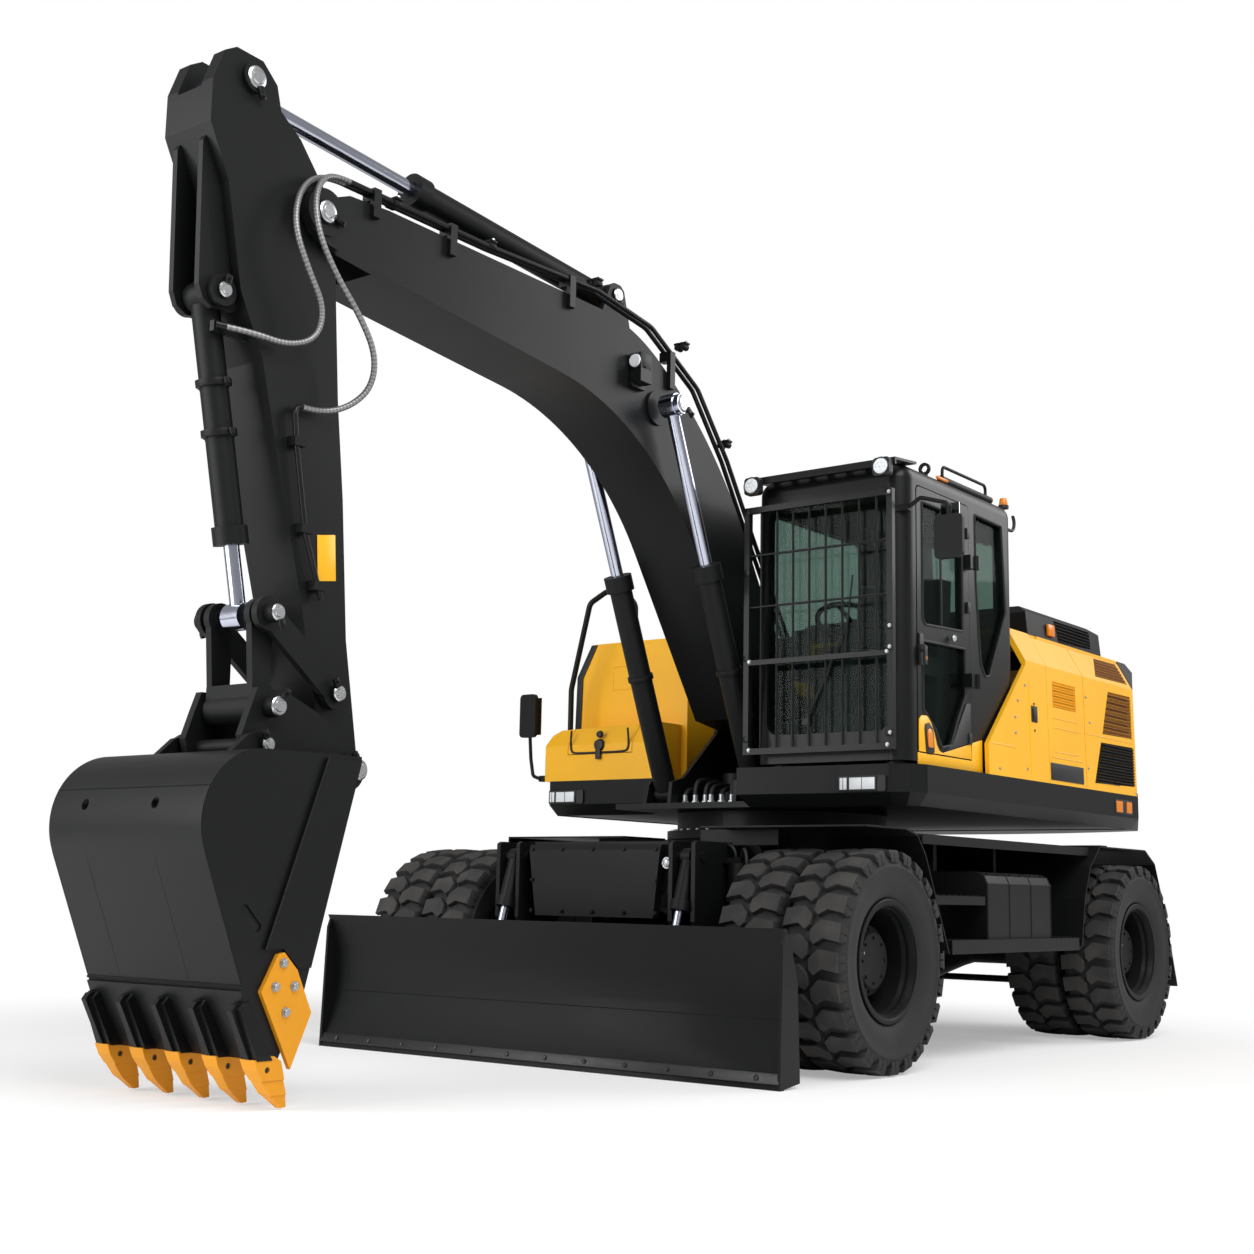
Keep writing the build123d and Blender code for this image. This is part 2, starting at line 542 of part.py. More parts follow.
PLATE_Y = (ARM_HALF + 8, ARM_HALF + 42)
COUPLER = (
    (3515, 1180), (3535, 1265), (3620, 1330), (3780, 1420), (3930, 1480), (4060, 1480), (4090, 1400),
    (4125, 1300), (4110, 1246), (3980, 1246), (3930, 1262), (3760, 1250), (3690, 1190), (3640, 1135),
    (3560, 1130),
)
coupler = boss(ARM_TIP, (-235, 235), 40)
for side in (-1, 1):
    plate_y = (side * PLATE_Y[0], side * PLATE_Y[1])
    coupler += side_plate(COUPLER, plate_y) + boss(ARM_TIP, plate_y, 78)
    coupler += boss(COUPLER_PIN, (side * PLATE_Y[0], side * 228), 40)
    coupler += boss(ARM_TIP, (side * PLATE_Y[0], side * (PLATE_Y[1] + 12)), 68)
coupler += box((3800, 3960), (-PLATE_Y[0] - 5, PLATE_Y[0] + 5), (1262, 1300))
coupler -= boss(BUCKET_PIN, (-300, 300), 30 + RUN)
save("coupler", coupler)

# ================================================================ bucket
# the bend between top and back is one arc of BACK_R
BUCKET_BACK = ((3766, 1237), (4614, 1228), (4258, 378), (4150, 175))
BACK_R = 260.0
BUCKET_SIDE = BUCKET_BACK + ((4100, 175), (3995, 400))
# each ear holds the rear pin, and runs forward to hook under the coupler's front pin
EAR = (
    (3700, 1262), (3655, 1215), (3690, 1200), (3780, 1225), (4215, 1225), (4130, 1300), (4050, 1325),
    (3970, 1290),
    (3900, 1262), (3780, 1262),
)
wrap = rounded(outline(folded(BUCKET_BACK, -SHEET)), ((4614, 1228, BACK_R), (4590, 1208, BACK_R - SHEET)))
bucket = side_plate(wrap, (-BUCKET_HALF, BUCKET_HALF))
# the thicker base edge below the back, and the stiffening strip along each side's front edge
BASE_EDGE = ((4270, 410), (4280, 406), (4266, 374), (4158, 171), (4150, 175), (4258, 378))
bucket += side_plate(BASE_EDGE, (-BUCKET_HALF, BUCKET_HALF))
SIDE_STRIP = ((3772, 1221), (3937, 1221), (4186, 545), (4106, 545), (4038, 482), (3976, 478))
SIDE_SLOT = ((4278, 704), (4302, 682), (4222, 598), (4198, 620))
bucket_side = rounded(outline(BUCKET_SIDE), ((4614, 1228, BACK_R),))
for side in (-1, 1):
    side_wall = side_plate(bucket_side, (side * (BUCKET_HALF - SHEET), side * BUCKET_HALF))
    side_wall -= side_plate(SIDE_SLOT, (side * (BUCKET_HALF - SHEET - 5), side * (BUCKET_HALF + 5)), 14)
    bucket += side_wall
    bucket += side_plate(SIDE_STRIP, (side * (BUCKET_HALF - 5), side * (BUCKET_HALF + 10)))
    bucket += side_plate(EAR, (side * 194, side * 224))
bucket += boss(BUCKET_PIN, (-240, 240), 30)
TEETH = 5
TOOTH_SPAN = 814.0
ADAPTER = (
    (4240, 372), (4262, 368), (4286, 345), (4204, 168), (4186, 128), (4132, 86), (4112, 132), (4162, 205),
)
# half of the adapter and of the tooth as seen from behind: (distance from the middle, z)
ADAPTER_HALF = ((30, 380), (42, 190), (42, 172), (26, 168), (24, 80))
TOOTH = ((4098, 168), (4132, 186), (4216, 176), (4200, 138), (4138, 58), (4070, 6), (4046, 8), (4056, 48))
TOOTH_HALF = ((40, 190), (34, 104), (28, 102), (25, 52), (20, 50), (13, 5))
RIDGE = ((4262, 368), (4290, 362), (4306, 340), (4222, 180), (4204, 168))
TOOTH_PIN = (4156, 140)


def from_behind(half, y):
    """A prism along X whose outline mirrors half of it about the line at y."""
    return cross_plate([(y + w, z) for w, z in half] + [(y - w, z) for w, z in reversed(half)], (3900, 4400))


teeth = []
for i in range(TEETH):
    y = TOOTH_SPAN * (i / (TEETH - 1) - 0.5)
    bucket += side_plate(ADAPTER, (y - 50, y + 50)) & from_behind(ADAPTER_HALF, y)
    bucket += side_plate(RIDGE, (y - 13, y + 13))
    teeth.append(side_plate(TOOTH, (y - 50, y + 50)) & from_behind(TOOTH_HALF, y))
for x, y, z in ((4440, -231, 1036), (4440, 168, 1036)):
    bucket -= bar((x - 60, y, z), (x + 80, y, z), 20)
save("bucket", bucket)

teeth = [tooth - bucket - boss(TOOTH_PIN, (-500, 500), 11) for tooth in teeth]
CUTTER = ((4135, 528), (4108, 534), (4046, 473), (3973, 325), (4059, 137), (4204, 402))
cutters = [side_plate(CUTTER, (side * BUCKET_HALF, side * (BUCKET_HALF + 18))) for side in (-1, 1)]
save("wear_parts", *teeth, *cutters)

# ================================================================ deck, skirts and counterweight
deck = box((-1680, 1040), (-500, 500), (DECK_Z + 5, DECK_TOP))
deck += box((-1680, 640), (-DECK_HALF, -500), (DECK_Z + 5, DECK_TOP))
deck += box((-1680, 920), (500, DECK_HALF), (DECK_Z + 5, DECK_TOP))
deck += post(SLEW_X, 0, (RING_Z + GAP, DECK_Z + 10), RING_R - 30)
FOOT_PLATE = (
    (-500, 1220), (-100, 1700), (250, 1830), (440, 1830), (560, 1620), (850, 1370), (960, 1340), (975, 1220),
)
CYLINDER_LUG = ((790, 1220), (820, 1330), (860, 1360), (916, 1360), (955, 1330), (985, 1220))
for side in (-1, 1):
    deck += side_plate(FOOT_PLATE, (side * (BOOM_HALF + 6), side * (BOOM_HALF + 28)))
    deck += side_plate(CYLINDER_LUG, (side * 344, side * 368))
    deck += boss(BOOM_BARREL_PIN, (side * 200, side * 382), 34)
deck += boss(BOOM_FOOT, (-250, 250), 45)
# (x, inner y) of the bearers under the house and the cab
for x, inner in ((-1500, 450), (-300, 240), (560, 240)):
    for side in (-1, 1):
        deck += box((x - 40, x + 40), (side * inner, side * DECK_HALF), (DECK_TOP - 5, SKIRT_TOP - 4))
save("deck", deck)

TUCK_Z = 1252.0                # where the skirt starts to lean in
SKIRT_W = 60.0
SKIRT_LEFT = (
    (1140, 330), (1096, 880), (1090, 1150), (1050, 1240), (960, HOUSE_HALF), (TAIL_X - 200, HOUSE_HALF),
    (TAIL_X - 200, 330),
)
SKIRT_RIGHT = (
    (BOX_X, -500), (BOX_X, 47 - HOUSE_HALF), (650, -HOUSE_HALF), (TAIL_X - 200, -HOUSE_HALF),
    (TAIL_X - 200, -500),
)


def skirt(plan, hollow):
    """A band of sheet round one side of the deck, which leans in below TUCK_Z."""
    face = Plane(origin=(0, 0, TUCK_Z)) * outline(plan)
    band = extrude(face, amount=SKIRT_TOP - TUCK_Z)
    band += extrude(face, amount=TUCK_Z - DECK_Z, dir=(0, 0, -1), taper=38)
    band &= box((TAIL_X + 3, 2000), (-1400, 1400), (DECK_Z, SKIRT_TOP))
    return band - hollow


LEFT_HOLLOW = (
    (1085, 300), (1045, 870), (1035, 1130), (940, HOUSE_HALF - SKIRT_W), (TAIL_X, HOUSE_HALF - SKIRT_W),
    (TAIL_X, 300),
)
left_hollow = floor_plate(LEFT_HOLLOW, (DECK_Z - 1, SKIRT_TOP + 1))
right_hollow = box((TAIL_X, 645), (-480, SKIRT_W - HOUSE_HALF), (DECK_Z - 1, SKIRT_TOP + 1))
skirt_left = skirt(SKIRT_LEFT, left_hollow)
skirt_right = skirt(SKIRT_RIGHT, right_hollow)
save("skirts", skirt_left, skirt_right)

# (y, z) section of the house above the skirt
HOUSE = (
    (HOUSE_HALF, SKIRT_TOP), (HOUSE_HALF - 12, CREASE_Z), (SHOULDER_Y, SHOULDER_Z),
    (-SHOULDER_Y, SHOULDER_Z),
    (12 - HOUSE_HALF, CREASE_Z), (-HOUSE_HALF, SKIRT_TOP),
)
BELLY = (
    (-HOUSE_HALF, DECK_Z + 70), (69 - HOUSE_HALF, DECK_Z), (HOUSE_HALF - 69, DECK_Z),
    (HOUSE_HALF, DECK_Z + 70),
)
LIP = 18.0                     # the counterweight's lower band stands out by this much
LIP_TOP = SKIRT_TOP + 14


def tail_plan(inset):
    """The counterweight in plan: cut corners and one arc about the slew axis."""
    reach, half, corner = TAIL_R - inset, HOUSE_HALF - inset, HOUSE_HALF - 90
    x = SLEW_X - math.sqrt(reach**2 - corner**2)
    return make_face([
        Polyline((TAIL_X, -half), (x, -corner)),
        ThreePointArc((x, -corner), (SLEW_X - reach, 0), (x, corner)),
        Polyline((x, corner), (TAIL_X, half), (TAIL_X, -half)),
    ])


counterweight = extrude(Plane(origin=(0, 0, DECK_Z)) * tail_plan(0), amount=LIP_TOP - DECK_Z)
upper_weight = extrude(Plane(origin=(0, 0, LIP_TOP)) * tail_plan(LIP), amount=SHOULDER_Z - LIP_TOP)
counterweight += chamfer(upper_weight.edges().group_by(Axis.Z)[-1].filter_by(GeomType.CIRCLE), 60)
counterweight &= cross_plate(HOUSE + BELLY, (-2400, TAIL_X))
save("counterweight", counterweight)


# ================================================================ house panels and doors
def house_skin(x, y):
    """A stretch of the house's bent side, one sheet thick, between limits of x and y."""
    inner = [(y_ * (1 - SKIN / HOUSE_HALF), z - SKIN) for y_, z in HOUSE]
    skin = cross_plate(HOUSE, x) - cross_plate(inner, (x[0] - 1, x[1] + 1))
    return skin & box((x[0] - 1, x[1] + 1), y, (SKIRT_TOP, SHOULDER_Z))


def grille(skin, window, slats, inset):
    """Opens a window (x, z) in a sheet and fills it with level slats that stand back by (x, y, z)."""
    y = (200, 1400)
    low, high = min(z for _, z in window), max(z for _, z in window)
    x = (min(x for x, _ in window), max(x for x, _ in window))
    step = (high - low) / slats
    filling = (Location(inset) * skin) & side_plate(window, y)
    bars = [box(x, y, (low + step * (i + 0.6), low + step * (i + 1))) for i in range(slats)]
    return (skin - side_plate(window, y)) + (filling & Compound(bars)).solids()


FIXED_X = (-430.0, 300.0)
ENGINE_DOOR_X = (-930.0, -430.0)
RADIATOR_DOOR_X = (TAIL_X + 3, -930.0)
PUMP_DOOR_X = (TAIL_X + 3, -545.0)
half_seam = SEAM / 2
ROOF_Y = SHOULDER_Y + 4        # half width of the roof between the doors' upper edges
door_y = (ROOF_Y + SEAM, HOUSE_HALF + 1)
# corners (x, z) of the grilles: two in the door's upright side and one in its slanting strip
LOW_GRILLE = ((-1050, 1424), (-1160, 1662), (-1646, 1668), (-1646, 1438))
MID_GRILLE = ((-1186, 1712), (-1292, 1966), (-1632, 1970), (-1632, 1720))
TOP_GRILLE = ((-1150, 2040), (-1300, 2168), (-1640, 2172), (-1640, 2046))
radiator_door = house_skin((RADIATOR_DOOR_X[0] + SEAM, RADIATOR_DOOR_X[1] - half_seam), door_y)
for window, slats in ((LOW_GRILLE, 7), (MID_GRILLE, 7), (TOP_GRILLE, 4)):
    radiator_door = grille(radiator_door, window, slats, (0, -7, 0))
save("door_radiator_left", radiator_door)
SMALL_GRILLE = ((-815, 1800), (-815, 1940), (-505, 1940), (-505, 1800))
engine_door = house_skin((ENGINE_DOOR_X[0] + half_seam, ENGINE_DOOR_X[1] - half_seam), door_y)
save("door_engine_left", grille(engine_door, SMALL_GRILLE, 5, (0, -7, 0)))
save("door_pump_right",
     house_skin((PUMP_DOOR_X[0] + SEAM, PUMP_DOOR_X[1] - half_seam), (-door_y[1], -door_y[0])))

# the fixed left panel ends in a slanting edge beside the cab
CAB_EDGE = ((310, 1300), (310, 1500), (330, 1510), (-172, 1990), (-172, 2300), (500, 2300), (500, 1300))
panel = house_skin(FIXED_X, (SHOULDER_Y - 30, door_y[1])) - side_plate(CAB_EDGE, (1000, 1400))
# the roof, open under the engine hood
roof = box((TAIL_X + 3, TANK_X[0] - 5), (-ROOF_Y, ROOF_Y), (SHOULDER_Z - SKIN, SHOULDER_Z - 1))
roof += box((TANK_X[0] - 5, -180), (-220, SHOULDER_Y - 5), (SHOULDER_Z - SKIN, SHOULDER_Z - 1))
hood_mouth = box((HOOD_X[0], HOOD_X[1] - 40), (HOOD_Y[0] + 60, HOOD_Y[1] - 60), (SHOULDER_Z - 99, SHOULDER_Z + 99))
roof -= hood_mouth
# (x, y limits) of the upright walls that carry the roof
for x, y in ((TAIL_X + 30, (-1050, 1050)), (TANK_X[0] - 20, (-1100, -240)), (-190, (240, 395))):
    roof += box((x - 10, x + 10), y, (DECK_TOP + 1, SHOULDER_Z - SKIN + 1))
save("house_panels", panel + roof)

hood_section = (
    (HOOD_Y[0], SHOULDER_Z + 4), (HOOD_Y[0] + 30, HOOD_TOP - 40), (HOOD_Y[0] + 90, HOOD_TOP),
    (HOOD_Y[1] - 80, HOOD_TOP), (HOOD_Y[1] - 20, HOOD_TOP - 40), (HOOD_Y[1], SHOULDER_Z + 4),
)
hood = cross_plate(hood_section, HOOD_X)
hood = chamfer(hood.edges().filter_by(Axis.Y).group_by(Axis.Z)[-1], 45)
hollow = [(y * 0.955, min(z, HOOD_TOP - SKIN)) for y, z in hood_section]
hollow[0] = (hollow[0][0], SHOULDER_Z)
hollow[-1] = (hollow[-1][0], SHOULDER_Z)
hood -= cross_plate(hollow, (HOOD_X[0] + 70, HOOD_X[1] - 70))
HOOD_GRILLE = ((-1260, 2270), (-1220, 2396), (-1745, 2396), (-1745, 2290))
hood = grille(hood, HOOD_GRILLE, 5, (0, -10, 0))
save("hood", hood)
save("engine", box((-1560, -760), (-360, 420), (DECK_TOP, 2000)))
save("swing_motor", post(640, 0, (DECK_TOP, 1330), 120) + post(640, 0, (1320, 1395), 78))

# ================================================================ tank and storage box
tank_section = (
    (-HOUSE_HALF, SKIRT_TOP), (12 - HOUSE_HALF, CREASE_Z), (-SHOULDER_Y, SHOULDER_Z), (-480, SHOULDER_Z),
    (-480, SKIRT_TOP),
)
tank = cross_plate(tank_section, TANK_X)
save("fuel_tank", tank)

STORE_SECTION = (
    (-520, SKIRT_TOP), (-HOUSE_HALF, SKIRT_TOP), (-HOUSE_HALF, 1590), (19 - HOUSE_HALF, 1650),
    (69 - HOUSE_HALF, 1680),
    (-520, 1700),
)
store_x = (TANK_X[1] + 4, BOX_X - 4)
LID_Y = (-1120.0, -660.0)
LID_LOW = 1530.0
# the front leans back above STORE_BEND, and the lid follows it one sheet thick
STORE_BEND = 1585.0
store_side = (
    (store_x[0], SKIRT_TOP), (store_x[1], SKIRT_TOP), (store_x[1], STORE_BEND),
    (store_x[1] - 90, STORE_BEND + 135),
    (store_x[0], STORE_BEND + 135),
)
under_lid = (
    (store_x[0] - 5, SKIRT_TOP), (store_x[1] - 16, SKIRT_TOP), (store_x[1] - 16, STORE_BEND - 5),
    (store_x[1] - 72, STORE_BEND + 79), (store_x[0] - 5, STORE_BEND + 79),
)
store = cross_plate(STORE_SECTION, store_x) & side_plate(store_side, (-1400, -400))
inside = box((store_x[0] + 20, store_x[1] - 20), (LID_Y[0] + 20, LID_Y[1] - 20), (SKIRT_TOP + 20, 1800))
mouth = box((store_x[0] + 24, store_x[1] + 1), LID_Y, (LID_LOW, 1800))
store_body = store - inside - mouth
lid = store & box((store_x[0] + 24 + half_seam, store_x[1] + 1), (LID_Y[0] + half_seam, LID_Y[1] - half_seam),
                  (LID_LOW + half_seam, 1800))
lid -= side_plate(under_lid, (LID_Y[0] - 50, LID_Y[1] + 50))
save("storage_box", store_body)
save("storage_lid", lid)

# ================================================================ cab
cab = box(CAB_X, CAB_Y, CAB_Z)
cab = fillet(cab.edges().filter_by(Axis.Z), 90)
cab = fillet(cab.edges().group_by(Axis.Z)[-1], 70)
cab_in = [(low + CAB_WALL, high - CAB_WALL) for low, high in (CAB_X, CAB_Y, CAB_Z)]
cab -= box(*cab_in)
WINDSCREEN = ((480, 1540), (1165, 1540), (1165, 2680), (480, 2680))
REAR_WINDOW = ((505, 1900), (1140, 1900), (1140, 2660), (505, 2660))
RIGHT_WINDOW = ((40, 1800), (980, 1600), (980, 2680), (40, 2680))
QUARTER = ((350, 2705), (345, 2350), (300, 1940), (250, 1880), (200, 1890), (0, 2240), (40, 2700))
DOOR_HOLE = ((DOOR_X[0], DOOR_Z[0]), (DOOR_X[1], DOOR_Z[0]), (DOOR_X[1], DOOR_Z[1]), (DOOR_X[0], DOOR_Z[1]))
through = 5.0
cab -= cross_plate(WINDSCREEN, (CAB_X[1] - CAB_WALL - through, CAB_X[1] + through), 60)
cab -= cross_plate(REAR_WINDOW, (CAB_X[0] - through, CAB_X[0] + CAB_WALL + through), 60)
cab -= side_plate(RIGHT_WINDOW, (CAB_Y[0] - through, CAB_Y[0] + CAB_WALL + through), 60)
cab -= side_plate(QUARTER, (CAB_Y[1] - CAB_WALL - through, CAB_Y[1] + through), 25)
cab -= side_plate(DOOR_HOLE, (CAB_Y[1] - CAB_WALL - through, CAB_Y[1] + through), 30)
# rubber feet
for x in (CAB_X[0] + 120, CAB_X[1] - 120):
    for y in (CAB_Y[0] + 110, CAB_Y[1] - 110):
        cab += post(x, y, (CAB_Z[0] - 16, CAB_Z[0] + 5), 60)
save("cab_shell", cab)

PANE = 8.0
save("cab_glass",
     cross_plate(WINDSCREEN, (CAB_X[1] - 30, CAB_X[1] - 30 + PANE), 60),
     cross_plate(REAR_WINDOW, (CAB_X[0] + 20, CAB_X[0] + 20 + PANE), 60),
     side_plate(RIGHT_WINDOW, (CAB_Y[0] + 20, CAB_Y[0] + 20 + PANE), 60),
     side_plate(QUARTER, (CAB_Y[1] - 20 - PANE, CAB_Y[1] - 20), 25))

DOOR_EDGE = (
    (DOOR_X[0] + GAP, DOOR_Z[0] + GAP), (DOOR_X[1] - GAP, DOOR_Z[0] + GAP),
    (DOOR_X[1] - GAP, DOOR_Z[1] - GAP), (DOOR_X[0] + GAP, DOOR_Z[1] - GAP),
)
DOOR_WINDOW = ((500, 2660), (500, 2080), (900, 2060), (925, 2090), (925, 2660))
DOOR_LOW_WINDOW = (
    (478, 1995), (478, 1760), (560, 1640), (640, 1500), (740, 1482), (800, 1560), (925, 1650),
    (925, 1980),
)
door = side_plate(DOOR_EDGE, (CAB_Y[1] - 40, CAB_Y[1] + 2), 26)
for window in (DOOR_WINDOW, DOOR_LOW_WINDOW):
    door -= side_plate(window, (CAB_Y[1] - 60, CAB_Y[1] + 20), 22)
for z in (1800, 2400):
    door += box((DOOR_HINGE[0] + 14, DOOR_HINGE[0] + 60), (CAB_Y[1] - 5, DOOR_HINGE[1]), (z, z + 70))
    door += post(*DOOR_HINGE, (z, z + 70), 16)
save("cab_door", door)
save("door_glass", *[side_plate(window, (CAB_Y[1] - 24, CAB_Y[1] - 24 + PANE), 22)
                     for window in (DOOR_WINDOW, DOOR_LOW_WINDOW)])

FLOOR = CAB_Z[0] + CAB_WALL
seat = box((330, 800), (600, 1080), (FLOOR, 1700)) + box((330, 820), (590, 1090), (1700, 1840))
seat += side_plate(((330, 1840), (470, 1840), (400, 2380), (290, 2380)), (600, 1080))
seat += side_plate(((290, 2370), (400, 2370), (390, 2560), (310, 2560)), (700, 980))
for y in ((470, 580), (1100, 1172)):
    seat += box((560, 880), (y[0], y[1]), (1840, 1940)) + box((560, 640), (y[0], y[1]), (FLOOR, 1850))
seat += box((320, 700), (560, 1110), (FLOOR, FLOOR + 60))
column = box((900, 1000), (760, 920), (FLOOR, 1640)) + bar((950, 840, 1600), (870, 840, 2080), 40)
save("cab_interior", seat, column)

RAIL = 30.0
BARS = 8
rail_x = (GUARD_X - 15, GUARD_X + 15)
guard = box(rail_x, GUARD_Y, GUARD_Z)
inner_y = (GUARD_Y[0] + RAIL, GUARD_Y[1] - RAIL)
for z in ((GUARD_Z[0] + RAIL, 1880), (1905, GUARD_Z[1] - RAIL)):
    guard -= box((rail_x[0] - 5, rail_x[1] + 5), inner_y, z)
for i in range(BARS):
    bar_y = GUARD_Y[0] + (GUARD_Y[1] - GUARD_Y[0]) * (i + 1) / (BARS + 1)
    guard += post(GUARD_X, bar_y, (GUARD_Z[0] + RAIL / 2, GUARD_Z[1] - RAIL / 2), 6)
for z in (2170, 2430):
    guard += bar((GUARD_X, GUARD_Y[0] + 5, z), (GUARD_X, GUARD_Y[1] - 5, z), 6)
save("front_guard", guard)

VISOR = ((960, 2838), (960, 2850), (1175, 2830), (1175, 2795), (1163, 2795), (1163, 2818))
visor = side_plate(VISOR, (395, 1240))
SLOTS = 8
for i in range(SLOTS):
    slot_y = CAB_Y[0] + 55 + (CAB_Y[1] - CAB_Y[0] - 110) * i / (SLOTS - 1)
    visor -= box((1060, 1110), (slot_y - 34, slot_y + 34), (2800, 2870))
for y in (480, 1165):
    visor += box((965, 1010), (y - 20, y + 20), (2826, 2842))
save("roof_visor", visor - cab)

# ================================================================ rails, mirrors and lamps
left_mirror = box((1044, 1066), (1385, 1530), (2335, 2545))
left_mirror = fillet(left_mirror.edges().filter_by(Axis.X), 25)
left_mirror += tube(((1075, 1255, 2600), (1075, 1320, 2640), (1058, 1455, 2600), (1056, 1455, 2500)), 10, 25)
left_mirror += box((1052, 1094), (1180, 1262), (2585, 2615)) - cab
right_mirror = fillet(box((708, 732), (-1458, -1340), (1640, 1890)).edges().filter_by(Axis.X), 25)
right_mirror += tube(((712, -1396, 1700), (690, -1400, 1520), (690, -1380, 1420), (690, -1322, 1400)), 10, 25)
right_mirror += box((655, 692), (-1335, -HOUSE_HALF - 0.5), (1386, 1420))
RAIL_WAY = (
    (592, -1190, 1682), (592, -1190, 1920), (660, -1010, 2400), (600, -920, 2480), (400, -880, 2440),
    (400, -880, SHOULDER_Z),
)
rail = tube(RAIL_WAY, 16, 60)
hoop = tube(
    ((100, -560, SHOULDER_Z), (100, -560, 2420), (-80, -560, 2420), (-80, -560, SHOULDER_Z)), 14, 60)
# the rolled blind's tube along the cab's roof with the rail over it, and the lifting eye
ROOF_TUBE = (CAB_Y[1] - 62, CAB_Z[1] + 16)
roof_rail = bar((40, *ROOF_TUBE), (600, *ROOF_TUBE), 20)
roof_rail += tube(
    ((90, *ROOF_TUBE), (90, ROOF_TUBE[0], 2916), (580, ROOF_TUBE[0], 2916), (580, *ROOF_TUBE)), 8, 25)
EYE = (660, 1130, 2892)
lifting_eye = extrude(Plane(origin=EYE, z_dir=(1, 0, 0)) * (Circle(31) - Circle(17)), amount=14)
lifting_eye += box((EYE[0], EYE[0] + 14), (EYE[1] - 14, EYE[1] + 14), (CAB_Z[1] - 10, EYE[2] - 20))
save("rails_and_mirrors", left_mirror, right_mirror, rail, hoop, roof_rail - cab, lifting_eye - cab)

# housings of the head lamps in the skirt, of the work lamps and of the beacon
lamps = [
    fillet(box((1080, 1104), (895, 1140), (1256, 1330)).edges().filter_by(Axis.X), 12) - skirt_left,
    fillet(box((BOX_X, BOX_X + 12), (-1232, -990), (1256, 1330)).edges().filter_by(Axis.X), 12),
]
for y in (455, 1185):
    housing = fillet(box((1178, 1214), (y - 45, y + 45), (2738, 2826)).edges().filter_by(Axis.X), 18)
    lamps.append(housing + box((1176, 1186), (y - 12, y + 12), (2800, 2812)))
lamps.append(post(330, 470, (CAB_Z[1], CAB_Z[1] + 90), 55))
lamps.append(box((CAB_X[0] - 40, CAB_X[0]), (1060, 1140), (2650, 2720)))
save("lamps", *lamps)

# ================================================================ lines along the boom and the arm
PIPE_R = 12.0
# (x, z) of the pipes along the boom's back, from the tip to the foot
PIPE_WAY = (
    (3740, 3545), (2900, 3545), (2150, 3575), (1720, 3515), (1320, 3300), (1050, 2985), (800, 2620),
    (500, 2200),
    (300, 1930),
)
PIPES_Y = (158.0, 192.0)
# (x, z, height, width) of the clamps that stand on the boom
CLAMPS = ((3600, 3500, 62, 40), (3150, 3485, 78, 40), (2350, 3490, 92, 40), (1560, 3300, 130, 40))
lines = []
for y in PIPES_Y:
    line = tube([(x, y, z) for x, z in PIPE_WAY], PIPE_R, 120)
    lines.append(line)
boom_lines = lines[0] + lines[1]
for x, z, height, width in CLAMPS:
    boom_lines += box((x - width / 2, x + width / 2), (BOOM_HALF, 210), (z - 60, z + height))
    boom_lines += box((x - width / 2, x + width / 2), (140, 210), (z + height - 50, z + height))
work_lamp = box((1790, 1900), (BOOM_HALF, 215), (3170, 3190)) + box((1800, 1890), (196, 262), (3190, 3290))
save("boom_lines", boom_lines, work_lamp)

ARM_PIPE_Y = 165.0
arm_line = tube(
    ((3905, ARM_PIPE_Y, 2580), (3944, ARM_PIPE_Y, 2580), (3925, ARM_PIPE_Y, 2430), (3858, ARM_PIPE_Y, 2090),
     (3765, ARM_PIPE_Y, 1850)), 11, (34, 60, 60))
for x, z in ((3918, 2440), (3862, 2110), (3785, 1900)):
    arm_line += box((x - 28, x + 28), (ARM_HALF, ARM_PIPE_Y + 16), (z - 18, z + 18))
PORT = (4240, 104, 2818)
port = box((4100, 4282), (60, 84), (2798, 2838)) - arm
port += bar(PORT, (4276, 85.6, 2820.4), 16)
save("arm_lines", arm_line, port)

# ================================================================ free hoses
HOSE_R = 12.0
# (x, y, z) of each hose's way from the boom's pipes to the arm
HOSES = (
    ("hose_upper", (
        (3740, 158, 3545), (3830, 158, 3545), (3945, 178, 3485), (4025, 212, 3370), (4048, 238, 3235),
        (3985, 250, 3095), (3890, 246, 2965), (3905, 230, 2840), (4020, 200, 2788), (4150, 150, 2812), PORT,
    )),
    ("hose_lower", (
        (3740, 192, 3545), (3830, 192, 3545), (3925, 222, 3475), (3972, 255, 3350), (3950, 275, 3215),
        (3860, 286, 3080), (3740, 292, 2960), (3645, 284, 2835), (3640, 262, 2705), (3715, 215, 2615),
        (3815, 165, 2580), (3905, 165, 2580),
    )),
)
for node, way in HOSES:
    stops = [Vector(*point) for point in way]
    radii = []
    for before, corner, after in zip(stops, stops[1:], stops[2:]):
        turn = math.radians((corner - before).get_angle(after - corner))
        radii.append(0.45 * min((corner - before).length, (after - corner).length) / math.tan(turn / 2))
    print(node, "bend radii", [round(radius) for radius in radii])
    save(node, tube(way, HOSE_R, radii))
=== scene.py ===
# %% [markdown]
# # A wheeled excavator
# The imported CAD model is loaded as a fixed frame: every piece below is placed on it, in metres,
# and rides on one of its bodies. The machine's own drawing counts millimetres from the middle of
# the wheelbase, so one small function turns such a place into the frame's metres.

# %% Load the frame
import json
import math

import bmesh
import bpy
from mathutils import Matrix, Vector


